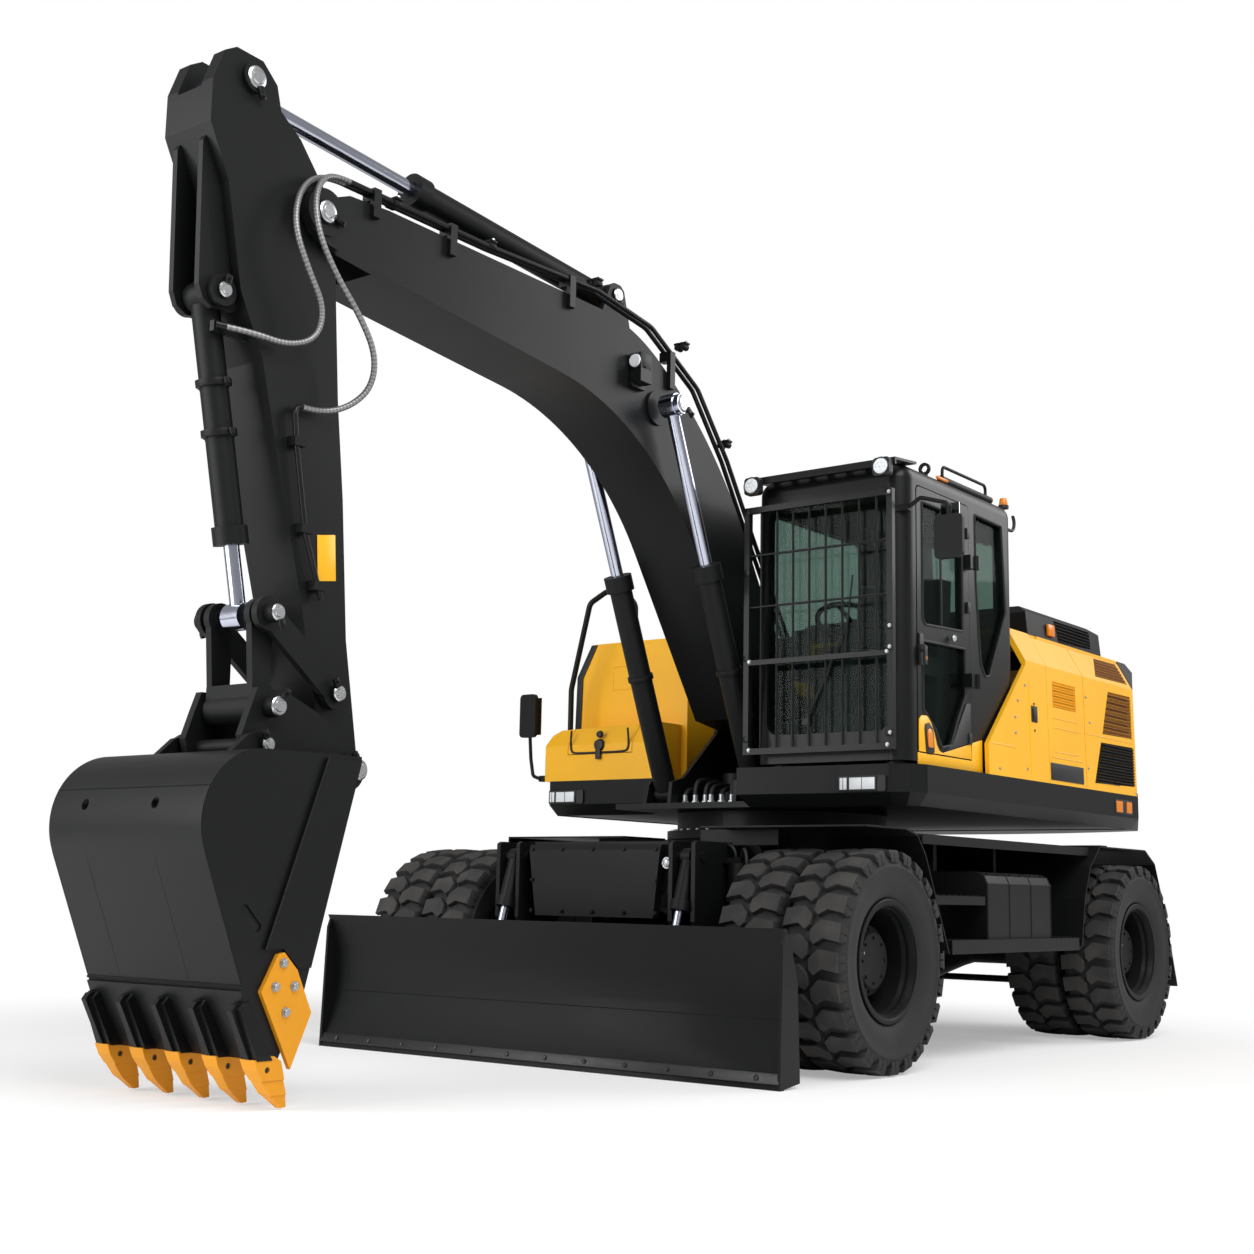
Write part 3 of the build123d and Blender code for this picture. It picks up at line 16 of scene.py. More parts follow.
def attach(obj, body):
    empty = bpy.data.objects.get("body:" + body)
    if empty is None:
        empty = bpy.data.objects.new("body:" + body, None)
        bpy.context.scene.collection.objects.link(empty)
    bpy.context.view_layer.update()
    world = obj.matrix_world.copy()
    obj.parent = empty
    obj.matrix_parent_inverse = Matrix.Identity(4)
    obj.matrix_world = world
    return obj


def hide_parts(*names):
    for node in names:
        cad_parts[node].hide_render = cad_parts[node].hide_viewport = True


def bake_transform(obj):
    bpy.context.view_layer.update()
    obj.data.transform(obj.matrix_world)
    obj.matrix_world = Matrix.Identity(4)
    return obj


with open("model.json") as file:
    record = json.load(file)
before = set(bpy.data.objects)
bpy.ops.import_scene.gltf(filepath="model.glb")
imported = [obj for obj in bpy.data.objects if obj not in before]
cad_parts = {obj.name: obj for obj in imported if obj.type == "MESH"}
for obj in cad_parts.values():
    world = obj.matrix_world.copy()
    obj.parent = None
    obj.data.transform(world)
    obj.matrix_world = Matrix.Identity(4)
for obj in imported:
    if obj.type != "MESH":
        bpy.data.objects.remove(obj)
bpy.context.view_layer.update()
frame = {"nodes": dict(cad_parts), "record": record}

MIDDLE_X = 1060.0  # from the middle of the wheelbase to the frame's origin, along the machine
scene = bpy.context.scene


def at(x, y, z):
    """A place counted in millimetres from the middle of the wheelbase, in the frame's metres."""
    return Vector((x - MIDDLE_X, y, z)) / 1000


# %% [markdown]
# ## Camera
# A person with a long lens stands off the front left corner, a little above knee height, and
# tips the camera up. The view's three directions are built from the heading, the tilt and the
# roll, which is clearer than three Euler angles.

# %% Camera
EYE = at(8144, 5023, 752)
HEADING, TILT, ROLL = math.radians(-142.4), math.radians(8.962), math.radians(1.091)
LENS = 48.81

ahead = Vector((math.cos(TILT) * math.cos(HEADING), math.cos(TILT) * math.sin(HEADING), math.sin(TILT)))
level = ahead.cross(Vector((0, 0, 1))).normalized()
upright = level.cross(ahead)
right = level * math.cos(ROLL) + upright * math.sin(ROLL)
up = upright * math.cos(ROLL) - level * math.sin(ROLL)

optics = bpy.data.cameras.new("camera")
optics.lens = LENS
optics.sensor_width = 36.0
optics.clip_end = 200.0
camera = bpy.data.objects.new("camera", optics)
scene.collection.objects.link(camera)
camera.matrix_world = Matrix((
    (right.x, up.x, -ahead.x, EYE.x),
    (right.y, up.y, -ahead.y, EYE.y),
    (right.z, up.z, -ahead.z, EYE.z),
    (0, 0, 0, 1),
))
scene.camera = camera
scene.view_settings.view_transform = "Standard"
print("camera", round((EYE - at(1200, 0, 1500)).length, 1), "m from the machine, lens", LENS, "mm")

# %% [markdown]
# ## One function for nodes, one for colours
# A material is a small network. `add` puts in one node with its settings, and an input that is
# given another node's output gets linked to it. Colours are written the way a paint shop writes
# them, as hex, and Blender counts them in linear light. A node could also be set up by hand each
# time, but a table of inputs shows at a glance what a finish is made of.

# %% Helpers for materials


def linear(hex_colour):
    """An sRGB hex colour as linear red, green, blue and alpha."""
    shares = [int(hex_colour[i:i + 2], 16) / 255 for i in (0, 2, 4)]
    return [s / 12.92 if s <= 0.04045 else ((s + 0.055) / 1.055) ** 2.4 for s in shares] + [1.0]


def add(tree, kind, settings=None, inputs=None):
    """A new node; inputs gives each socket a value, or the output that it is linked to."""
    node = tree.nodes.new(kind)
    for key, value in (settings or {}).items():
        setattr(node, key, value)
    for key, value in (inputs or {}).items():
        if isinstance(value, bpy.types.NodeSocket):
            tree.links.new(value, node.inputs[key])
        else:
            node.inputs[key].default_value = value
    return node


def start_material(name):
    """An empty material, its tree and its output node."""
    material = bpy.data.materials.new(name)
    material.use_nodes = True
    material.node_tree.nodes.clear()
    return material, material.node_tree, add(material.node_tree, "ShaderNodeOutputMaterial")


# %% [markdown]
# ## Floor and light
# The machine stands on a plain pale floor in front of a pale sky. What the camera sees of the
# sky is white by its colour alone; the light on the machine comes from a softer grey sky and three
# large lamps, so that paint shows about the colour that it is written with. Away from the machine
# the floor glows more and more to the camera, until floor and sky meet without a line.

# %% Sky
SKY = 0.34
world = bpy.data.worlds.new("studio")
scene.world = world
world.use_nodes = True
sky = world.node_tree
sky.nodes.clear()
rays = add(sky, "ShaderNodeLightPath")
seen = add(sky, "ShaderNodeMath", {"operation": "MAXIMUM"},
           {0: rays.outputs["Is Camera Ray"], 1: rays.outputs["Is Transmission Ray"]})
strength = add(sky, "ShaderNodeMapRange", None, {"Value": seen.outputs[0], "To Min": SKY, "To Max": 1.0})
dome = add(sky, "ShaderNodeBackground", None, {"Color": linear("ffffff"), "Strength": strength.outputs[0]})
sky.links.new(dome.outputs[0], add(sky, "ShaderNodeOutputWorld").inputs["Surface"])
print("sky lights the machine at", SKY)

# %% Floor
FLOOR_REACH = 60.0
GLOW_FROM, GLOW_TO, LEAST_GLOW = 2.6, 5.5, 0.35  # metres from the middle, and the share nearer in

floor_paint, tree, out = start_material("matt white floor paint")
place = add(tree, "ShaderNodeTexCoord")
reach = add(tree, "ShaderNodeVectorMath", {"operation": "LENGTH"}, {0: place.outputs["Object"]})
fade = add(tree, "ShaderNodeMapRange", {"interpolation_type": "SMOOTHSTEP"}, {
    "Value": reach.outputs["Value"], "From Min": GLOW_FROM, "From Max": GLOW_TO, "To Min": LEAST_GLOW})
floor_rays = add(tree, "ShaderNodeLightPath")
open_air = add(tree, "ShaderNodeMath", {"operation": "MULTIPLY"},
               {0: fade.outputs[0], 1: floor_rays.outputs["Is Camera Ray"]})
matt = add(tree, "ShaderNodeBsdfDiffuse", None, {"Color": linear("ffffff")})
glow = add(tree, "ShaderNodeEmission", None, {"Color": linear("ffffff"), "Strength": 1.0})
both = add(tree, "ShaderNodeMixShader", None,
           {"Fac": open_air.outputs[0], 1: matt.outputs[0], 2: glow.outputs[0]})
tree.links.new(both.outputs[0], out.inputs["Surface"])

floor_mesh = bpy.data.meshes.new("floor")
floor_corners = [(FLOOR_REACH * x, FLOOR_REACH * y, 0) for x, y in ((-1, -1), (1, -1), (1, 1), (-1, 1))]
floor_mesh.from_pydata(floor_corners, [], [(0, 1, 2, 3)])
floor_mesh.materials.append(floor_paint)
floor = bpy.data.objects.new("floor", floor_mesh)
scene.collection.objects.link(floor)
print("floor laid, glowing from", GLOW_FROM, "m outwards")

# %% Lamps
# (name, place, target, size in metres, power in watts)
LAMPS = (
    ("key", at(5200, 6500, 8200), at(1200, 0, 1600), 6.0, 640),
    ("fill", at(9500, -2500, 3600), at(1500, 0, 1500), 6.0, 420),
    ("rim", at(-5500, 4500, 6000), at(-500, 0, 1800), 5.0, 260),
)
for name, place, target, size, power in LAMPS:
    light = bpy.data.lights.new(name, "AREA")
    light.size = size
    light.energy = power
    lamp = bpy.data.objects.new(name, light)
    lamp.location = place
    lamp.rotation_euler = (target - place).to_track_quat("-Z", "Y").to_euler()
    scene.collection.objects.link(lamp)
print(len(LAMPS), "lamps set")

# %% [markdown]
# ## Finishes
# Four families cover the machine. Satin two-pack paint in charcoal and gloss enamel in yellow are
# sprayed, which leaves a fine orange peel. Rods are hard chrome, ground and polished. Tyres and
# cushions are matt rubber and vinyl. Each finish below starts from that fact: the colour comes
# first, then how much the surface scatters, then the small relief that catches the light. Images
# could do the same, but noise in the object's own millimetres has no seams and needs no unwrapping.
# Real orange peel is about 2 mm wide. It is drawn at 5 to 14 mm here, so that it still shows.

# %% Sprayed paint
CLOUD_MM = 625.0  # the size of the soft patches in which a sprayed coat is lighter or darker
PEEL_DEPTH = 0.0004  # metres, as the other depths of relief
# the pale tint that upward faces of the paint are mixed towards: painted top light
TOP_LIGHT_COLOUR = "b0aca4"


def paint(name, colour, roughness, coat, shine=0.22, peel_mm=9.0, peel=0.06, dust=0.025):
    """Sprayed enamel: an even colour in faint clouds, a clear coat, orange peel, painted top light on upward
    faces.
    """
    material, tree, out = start_material(name)
    place = add(tree, "ShaderNodeTexCoord")
    cloud = add(tree, "ShaderNodeTexNoise", None,
                {"Vector": place.outputs["Object"], "Scale": 1000 / CLOUD_MM, "Detail": 5.0})
    ripple = add(tree, "ShaderNodeTexNoise", None,
                 {"Vector": place.outputs["Object"], "Scale": 1000 / peel_mm, "Detail": 1.0})
    shape = add(tree, "ShaderNodeNewGeometry")
    facing = add(tree, "ShaderNodeSeparateXYZ", None, {0: shape.outputs["Normal"]})
    # painted top light: the more a face points up, the more it is mixed towards the pale tint, up to the
    # share dust, in the cloud's patches
    upward = add(tree, "ShaderNodeMapRange", None,
                 {"Value": facing.outputs["Z"], "From Min": 0.35, "From Max": 1.0, "To Max": dust})
    top_light_share = add(tree, "ShaderNodeMath", {"operation": "MULTIPLY"},
                  {0: upward.outputs[0], 1: cloud.outputs["Fac"]})
    shade = add(tree, "ShaderNodeMapRange", None,
                {"Value": cloud.outputs["Fac"], "To Min": 0.90, "To Max": 1.10})
    toned = add(tree, "ShaderNodeVectorMath", {"operation": "SCALE"},
                {0: linear(colour)[:3], "Scale": shade.outputs[0]})
    top_lit = add(tree, "ShaderNodeMix", {"data_type": "RGBA"},
                 {0: top_light_share.outputs[0], 6: toned.outputs[0], 7: linear(TOP_LIGHT_COLOUR)})
    gloss = add(tree, "ShaderNodeMapRange", None,
                {"Value": cloud.outputs["Fac"], "To Min": roughness - 0.05, "To Max": roughness + 0.07})
    relief = add(tree, "ShaderNodeBump", None,
                 {"Strength": peel, "Distance": PEEL_DEPTH, "Height": ripple.outputs["Fac"]})
    surface = add(tree, "ShaderNodeBsdfPrincipled", None, {
        "Base Color": top_lit.outputs[2], "Roughness": gloss.outputs[0], "Specular IOR Level": shine,
        "Coat Weight": coat, "Coat Roughness": 0.12, "Normal": relief.outputs[0]})
    tree.links.new(surface.outputs[0], out.inputs["Surface"])
    return material


# satin: near black, with a broad grey sheen where a plate turns to the light
charcoal = paint("charcoal two-pack paint", "111213", 0.42, 0.04)
# duller than the boom's paint, so frame and axles fall back into the shade
frame_black = paint("black chassis paint", "101112", 0.48, 0.02)
# the smoothest black: its edges draw thin, sharper lines of light
cab_black = paint("black cab enamel", "111213", 0.36, 0.1)
# warm yellow under a clear coat, glossy enough to mirror the sky softly
yellow = paint("yellow gloss enamel", "ffbc1c", 0.34, 0.2, shine=0.4)
# thick dipped paint, a shade more orange, over the rough skin of a casting
tooth_yellow = paint("yellow dipped tooth paint", "e59a1c", 0.42, 0.1, peel_mm=14, peel=0.2)
# a sandy casting under thin paint: matt and grainy
cast = paint("sprayed cast iron", "151617", 0.55, 0.0, peel_mm=5, peel=0.5)
print("six paints mixed")

# %% [markdown]
# ## Steel
# A ground chrome rod is nearly a mirror, with soft patches where it has been wiped. Zinc plate and
# turned steel are brighter than cut steel, which is dull and streaked along the way it was rolled.
# A stretched noise does for all of them: it varies the gloss and, where wanted, the relief.

# %% Metals
METAL_DEPTH = 0.0005


def metal(name, colour, roughness, streak_mm=(40, 40, 40), streak=0.08, relief=0.0):
    """A bare metal whose gloss varies in streaks; streak_mm is the streaks' size along X, Y and Z."""
    material, tree, out = start_material(name)
    place = add(tree, "ShaderNodeTexCoord")
    stretch = add(tree, "ShaderNodeMapping", None, {0: place.outputs["Object"]})
    stretch.inputs["Scale"].default_value = [1000 / mm for mm in streak_mm]
    grain = add(tree, "ShaderNodeTexNoise", None,
                {"Vector": stretch.outputs[0], "Scale": 1.0, "Detail": 4.0})
    gloss = roughness
    if streak:
        gloss = add(tree, "ShaderNodeMapRange", None, {
            "Value": grain.outputs["Fac"],
            "To Min": roughness - streak, "To Max": roughness + streak}).outputs[0]
    bump = add(tree, "ShaderNodeBump", None,
               {"Strength": relief, "Distance": METAL_DEPTH, "Height": grain.outputs["Fac"]})
    surface = add(tree, "ShaderNodeBsdfPrincipled", None, {
        "Base Color": linear(colour), "Metallic": 1.0, "Roughness": gloss, "Normal": bump.outputs[0]})
    tree.links.new(surface.outputs[0], out.inputs["Surface"])
    return material


# cool and bright, with the surroundings drawn out along the rod
chrome = metal("hard chrome plate", "c3c7d6", 0.16, streak=0.05)
# pale and slightly mottled, so a bolt's head glints without mirroring
zinc = metal("zinc-plated steel", "b9bcbf", 0.34, (6, 6, 6), 0.08, 0.15)
# dark mill skin with long streaks where earth has scoured it
cut_steel = metal("bare abrasion-resistant steel", "4a4a4b", 0.42, (220, 30, 12), 0.12, 0.3)
# whiter than zinc and smoother: the brightest spots on the dark arm
pin_cap = metal("bright turned steel", "d5d6d8", 0.28, (9, 9, 9), 0.08, 0.1)
print("four metals ready")

# %% [markdown]
# ## Rubber, plastic and vinyl
# Moulded polymers have one even, dull colour and the fine grain of their mould. Tyre rubber is
# matt and a little brown, and greyer where dust has settled on it in patches.

# %% Rubber, plastic and vinyl
GRAIN_DEPTH = 0.0006
PATCHES_PER_METRE = 7.0  # dust lies in patches about 140 mm across


def moulded(name, colour, roughness, grain_mm, relief, dust="000000", dusty=0.0, sheen=0.0):
    """A moulded polymer: an even dull colour with a fine grain and, on rubber, patches of dust."""
    material, tree, out = start_material(name)
    place = add(tree, "ShaderNodeTexCoord")
    grain = add(tree, "ShaderNodeTexNoise", None,
                {"Vector": place.outputs["Object"], "Scale": 1000 / grain_mm, "Detail": 3.0})
    shade = linear(colour)
    if dusty:
        patch = add(tree, "ShaderNodeTexNoise", None,
                    {"Vector": place.outputs["Object"], "Scale": PATCHES_PER_METRE, "Detail": 6.0})
        share = add(tree, "ShaderNodeMapRange", None,
                    {"Value": patch.outputs["Fac"], "From Min": 0.42, "From Max": 0.75, "To Max": dusty})
        shade = add(tree, "ShaderNodeMix", {"data_type": "RGBA"},
                    {0: share.outputs[0], 6: linear(colour), 7: linear(dust)}).outputs[2]
    bump = add(tree, "ShaderNodeBump", None,
               {"Strength": relief, "Distance": GRAIN_DEPTH, "Height": grain.outputs["Fac"]})
    surface = add(tree, "ShaderNodeBsdfPrincipled", None, {
        "Base Color": shade, "Roughness": roughness, "Sheen Weight": sheen, "Normal": bump.outputs[0]})
    tree.links.new(surface.outputs[0], out.inputs["Surface"])
    return material


# worn and dusty: the blocks stand out grey against the darker grooves
tread_rubber = moulded("tyre tread rubber", "2f2e2e", 0.8, 6.0, 0.5, "4c4945", 0.7)
# darker and smoother than the tread, with a faint bloom of dust
wall_rubber = moulded("tyre sidewall rubber", "1b1b1c", 0.72, 4.0, 0.3, "2c2a28", 0.5)
# a dull black line between bright panels
seal_rubber = moulded("EPDM seal rubber", "141415", 0.6, 3.0, 0.2)
# a fine leather-like grain that breaks up its highlights
black_plastic = moulded("grained black ABS", "1a1b1c", 0.5, 1.6, 0.35)
# mid grey, so the cab's inside reads through the tinted glass
cab_plastic = moulded("grey moulded polypropylene", "3b3e3f", 0.55, 1.6, 0.3)
# soft black with a slight sheen where a pad curves away
vinyl = moulded("black seat vinyl", "17181a", 0.58, 2.4, 0.4, sheen=0.2)
# strong orange with a wet, smooth highlight
amber_glow = moulded("amber polycarbonate lens", "ee8a1e", 0.18, 3.0, 0.1)
# flatter orange, broken up by the sheet's fine cells
reflector = moulded("orange reflective sheet", "e8830f", 0.3, 5.0, 0.4)
# brownish wire that lets dark show between
copper_mesh = moulded("passivated mesh wire", "8a5a1c", 0.5, 2.0, 0.2)
print("rubber, plastics and vinyl ready")

# %% [markdown]
# ## Glass
# Tinted safety glass lets most light straight through and mirrors a little of the sky. Mixing a
# clear share with a smooth dark film gives both. True refraction would bend the view at every thin
# pane and darken the cab, for no gain that the eye would notice.

# %% Glass and mirrors


def pane(name, colour, clear):
    """Tinted flat glass: a clear share that lets light straight through, under a sharp reflection."""
    material, tree, out = start_material(name)
    through = add(tree, "ShaderNodeBsdfTransparent", None, {"Color": linear(colour)})
    film = add(tree, "ShaderNodeBsdfPrincipled", None,
               {"Base Color": linear("1d2624"), "Roughness": 0.03, "IOR": 1.5})
    both = add(tree, "ShaderNodeMixShader", None,
               {"Fac": 1.0 - clear, 1: through.outputs[0], 2: film.outputs[0]})
    tree.links.new(both.outputs[0], out.inputs["Surface"])
    return material


# a cool green cast over what lies behind it
cab_pane = pane("grey-green tinted glass", "c6d3ce", 0.88)
# an even mirror
mirror_glass = metal("silvered mirror glass", "dfe3e5", 0.03, streak=0.0)
# white and glossy, its prisms showing as a coarse ripple
lamp_lens = moulded("frosted lamp lens", "e9edf0", 0.15, 5.0, 0.6)
print("glass, mirrors and lenses ready")

# %% [markdown]
# ## Dressing the CAD solids
# Most of the machine is pressed, cast and welded steel whose solids already have the right shape,
# so each of them keeps its mesh and gets its finish. The table goes by the record's own slots,
# and the few nodes that differ are named after it.

# %% Dress the CAD nodes
SLOT_FINISH = {
    "charcoal": charcoal, "black": frame_black, "yellow": yellow, "chrome": chrome, "iron": cast,
    "plastic": black_plastic, "glass": cab_pane, "tyre": tread_rubber, "hose": black_plastic,
}
NODE_FINISH = {
    "cab_shell": cab_black, "cab_door": cab_black, "front_guard": cab_black, "roof_visor": cab_black,
    "cab_interior": cab_plastic, "wear_parts": tooth_yellow, "boom_lines": cab_black, "arm_lines": cab_black,
}
for part in frame["record"]["subparts"]:
    node = frame["nodes"][part["node"]]
    finish = NODE_FINISH.get(part["node"], SLOT_FINISH[part["material_slot"]])
    node.data.materials.clear()
    node.data.materials.append(finish)

# %% [markdown]
# ## Making a piece
# A finished piece is an object at the origin whose mesh already lies where it belongs. The helper
# takes a bmesh or a mesh, gives it flat faces with sharp creases over 35 degrees and smooth curves
# elsewhere, bevels its edges if asked, and lets it ride on its body. Modifiers could stay live on
# the object, but a plain mesh is sure to look the same wherever it is taken.

# %% From a mesh to a piece
CREASE = math.radians(35)


def evaluated(obj):
    """The object's mesh with its modifiers applied, or a curve turned into a mesh."""
    bpy.context.view_layer.update()
    return bpy.data.meshes.new_from_object(obj.evaluated_get(bpy.context.evaluated_depsgraph_get()))


def piece(name, mesh, finish, body, bevel_mm=0.0, merge=True):
    """A finished piece from a mesh in the frame's metres, riding on a body."""
    if isinstance(mesh, bmesh.types.BMesh):
        form = mesh
    else:
        form = bmesh.new()
        form.from_mesh(mesh)
    if merge:
        bmesh.ops.remove_doubles(form, verts=form.verts, dist=1e-6)
        bmesh.ops.recalc_face_normals(form, faces=form.faces)
    data = bpy.data.meshes.new(name)
    form.to_mesh(data)
    form.free()
    data.materials.clear()
    data.materials.append(finish)
    data.polygons.foreach_set("material_index", [0] * len(data.polygons))
    obj = bpy.data.objects.new(name, data)
    scene.collection.objects.link(obj)
    if bevel_mm:
        rounding = obj.modifiers.new("bevel", "BEVEL")
        rounding.width = bevel_mm / 1000
        rounding.segments = 2
        rounding.limit_method = "ANGLE"
        obj.data = evaluated(obj)
        obj.modifiers.clear()
    obj.data.shade_smooth()
    obj.data.set_sharp_from_angle(angle=CREASE)
    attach(obj, body)
    return obj


# %% [markdown]
# ## Blocks, bars, plates and turned forms
# Small fittings are put together the way a workshop would: sawn blocks, round bars, cut plates and
# turned rings. Each helper adds its form to one bmesh, so a piece can hold many of them, and all of
# them take millimetres. Modelling them by hand would look no better and be slower to change.

# %% Forms added to a bmesh


def block(form, x, y, z):
    """Adds a block between pairs of limits in millimetres to a bmesh."""
    low, high = at(x[0], y[0], z[0]), at(x[1], y[1], z[1])
    size = high - low
    middle = Matrix.Translation((low + high) / 2)
    scaled = Matrix.Diagonal((abs(size.x), abs(size.y), abs(size.z), 1))
    bmesh.ops.create_cube(form, matrix=middle @ scaled)


def rod_between(form, start, end, radius, segments=16, radius_end=None):
    """Adds a round bar or cone between two places in millimetres to a bmesh."""
    a, b = at(*start), at(*end)
    turn = (b - a).to_track_quat("Z", "Y").to_matrix().to_4x4()
    far = radius if radius_end is None else radius_end
    bmesh.ops.create_cone(
        form, cap_ends=True, segments=segments, radius1=radius / 1000, radius2=far / 1000,
        depth=(b - a).length, matrix=Matrix.Translation((a + b) / 2) @ turn)


def slab(form, corners, push):
    """Adds a flat plate: its corners in millimetres, and the push through its thickness."""
    near = [form.verts.new(at(*c)) for c in corners]
    far = [form.verts.new(at(*(Vector(c) + Vector(push)))) for c in corners]
    form.faces.new(near)
    form.faces.new(far[::-1])
    for i, v in enumerate(near):
        form.faces.new((v, far[i], far[i - 1], near[i - 1]))


def lathe(form, profile, axle, side=1, steps=72):
    """Adds a form turned about the line along Y through axle (x, z); profile is (radius, y) in mm."""
    rings = []
    for i in range(steps):
        turn = 2 * math.pi * i / steps
        rings.append([
            form.verts.new(at(axle[0] + r * math.cos(turn), side * y, axle[1] + r * math.sin(turn)))
            for r, y in profile])
    for i in range(steps):
        here, there = rings[i - 1], rings[i]
        for j in range(len(profile) - 1):
            form.faces.new((here[j], there[j], there[j + 1], here[j + 1]))


# %% [markdown]
# ## Pipes and hoses
# A pipe is bent from a straight length, so it is round everywhere and its line is smooth. A curve
# with a round bevel is just that. It is turned into a mesh at once, to be joined or dressed like
# any other form.

# %% Pipes


def pipe(name, points, radius_mm, closed=False, resolution=4):
    """A mesh tube along a smooth curve through the places, in millimetres."""
    way = bpy.data.curves.new(name, "CURVE")
    way.dimensions = "3D"
    way.bevel_depth = radius_mm / 1000
    way.bevel_resolution = resolution
    way.resolution_u = 8
    way.use_fill_caps = True
    spline = way.splines.new("NURBS")
    spline.points.add(len(points) - 1)
    for point, place in zip(spline.points, points):
        point.co = (*at(*place), 1.0)
    spline.order_u = 3
    spline.use_endpoint_u = not closed
    spline.use_cyclic_u = closed
    obj = bpy.data.objects.new(name, way)
    mesh = evaluated(obj)
    bpy.data.objects.remove(obj)
    return mesh


def joined(meshes):
    """One bmesh from several meshes."""
    form = bmesh.new()
    for mesh in meshes:
        form.from_mesh(mesh)
    return form


# %% [markdown]
# ## The two free hoses
# Where the boom ends, the steel pipes hand over to two braided hoses, because the arm swings.
# One runs round to the bucket cylinder's side, the other back up to the arm's own pipe. Each is
# one NURBS line through a dozen points, and a tube along it. The braid is drawn from two sets of
# fine lines that cross at a lean, coarser than real wire so that it shows.

# %% Wire braid
WIRES_ALONG, WIRES_ROUND = 260.0, 6.0  # how fast the lines follow each other along and round a hose
# grey steel wire: a fine diamond pattern of light strands and dark gaps
braid, tree, out = start_material("stainless wire braid")
place = add(tree, "ShaderNodeUVMap")
lines = []
for lean in (-1, 1):
    wires = add(tree, "ShaderNodeVectorMath", {"operation": "DOT_PRODUCT"},
                {0: place.outputs[0], 1: (WIRES_ALONG, lean * WIRES_ROUND, 0)})
    wave = add(tree, "ShaderNodeMath", {"operation": "SINE"}, {0: wires.outputs["Value"]})
    lines.append(wave.outputs[0])
weave = add(tree, "ShaderNodeMath", {"operation": "MULTIPLY"}, {0: lines[0], 1: lines[1]})
relief = add(tree, "ShaderNodeBump", None, {"Strength": 0.5, "Distance": 0.001, "Height": weave.outputs[0]})
tone = add(tree, "ShaderNodeMapRange", None,
           {"Value": weave.outputs[0], "From Min": -1.0, "To Min": 0.10, "To Max": 0.34})
grey = add(tree, "ShaderNodeCombineColor", None, {socket: tone.outputs[0] for socket in (0, 1, 2)})
surface = add(tree, "ShaderNodeBsdfPrincipled", None, {
    "Base Color": grey.outputs[0], "Metallic": 0.6, "Roughness": 0.42, "Normal": relief.outputs[0]})
tree.links.new(surface.outputs[0], out.inputs["Surface"])
print("braid woven")

# %% Hoses
HOSE_D = 24.0
HOSES = {
    "hose_upper": (
        (3740, 158, 3545), (3830, 158, 3545), (3945, 178, 3485), (4025, 212, 3370), (4048, 238, 3235),
        (3985, 250, 3095), (3890, 246, 2965), (3905, 230, 2840), (4020, 200, 2788), (4150, 150, 2812),
        (4240, 104, 2818)),
    "hose_lower": (
        (3740, 192, 3545), (3830, 192, 3545), (3925, 222, 3475), (3972, 255, 3350), (3950, 275, 3215),
        (3860, 286, 3080), (3740, 292, 2960), (3645, 284, 2835), (3640, 262, 2705), (3715, 215, 2615),
        (3815, 165, 2580), (3905, 165, 2580)),
}


def run_length(points):
    """The length of a line through points."""
    return sum((b - a).length for a, b in zip(points, points[1:]))


for name, way in HOSES.items():
    line = [v.co.copy() for v in pipe(name + "_line", way, 0.0).vertices]
    tube = pipe(name + "_braid", way, HOSE_D / 2, resolution=5)
    tube.materials.append(braid)
    tube.shade_smooth()
    hose = bpy.data.objects.new(name + "_braided", tube)
    scene.collection.objects.link(hose)
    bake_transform(hose)
    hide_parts(name)
    print(name, "length", round(run_length(line), 3), "m")

# %% [markdown]
# ## One form made many times
# Tread blocks, wheel nuts and ring bolts stand evenly round an axle. One of them is made in bmesh,
# at one place of its ring, and a small geometry node tree turns copies of it about the axle, makes
# them real and gives them their finish. An array modifier would need an empty for each ring; a tree
# takes count and centre as numbers. Beginning and end are the same for every such tree.

# %% The first and last nodes of a tree


def start_tree(name, inputs):
    """A geometry node tree that takes geometry and the named inputs, with its input node."""
    tree = bpy.data.node_groups.new(name, "GeometryNodeTree")
    for label, kind in {"Geometry": "NodeSocketGeometry", **inputs}.items():
        tree.interface.new_socket(label, in_out="INPUT", socket_type=kind)
    tree.interface.new_socket("Geometry", in_out="OUTPUT", socket_type="NodeSocketGeometry")
    return tree, add(tree, "NodeGroupInput")


def end_tree(tree, copies, finish):
    """Makes the tree's copies real, gives them their finish and puts them out."""
    real = add(tree, "GeometryNodeRealizeInstances", None, {"Geometry": copies.outputs[0]})
    made = add(tree, "GeometryNodeSetMaterial", None, {"Geometry": real.outputs[0], "Material": finish})
    add(tree, "NodeGroupOutput", None, {"Geometry": made.outputs[0]})
    return tree


def grown(obj, tree, **values):
    """The mesh that a tree makes of an object; values fill the tree's inputs by name."""
    scene.collection.objects.link(obj)
    modifier = obj.modifiers.new("nodes", "NODES")
    modifier.node_group = tree
    for item in tree.interface.items_tree:
        if item.in_out == "INPUT" and item.name in values:
            modifier[item.identifier] = values[item.name]
    mesh = evaluated(obj)
    bpy.data.objects.remove(obj)
    return mesh


# %% Copies round an axle


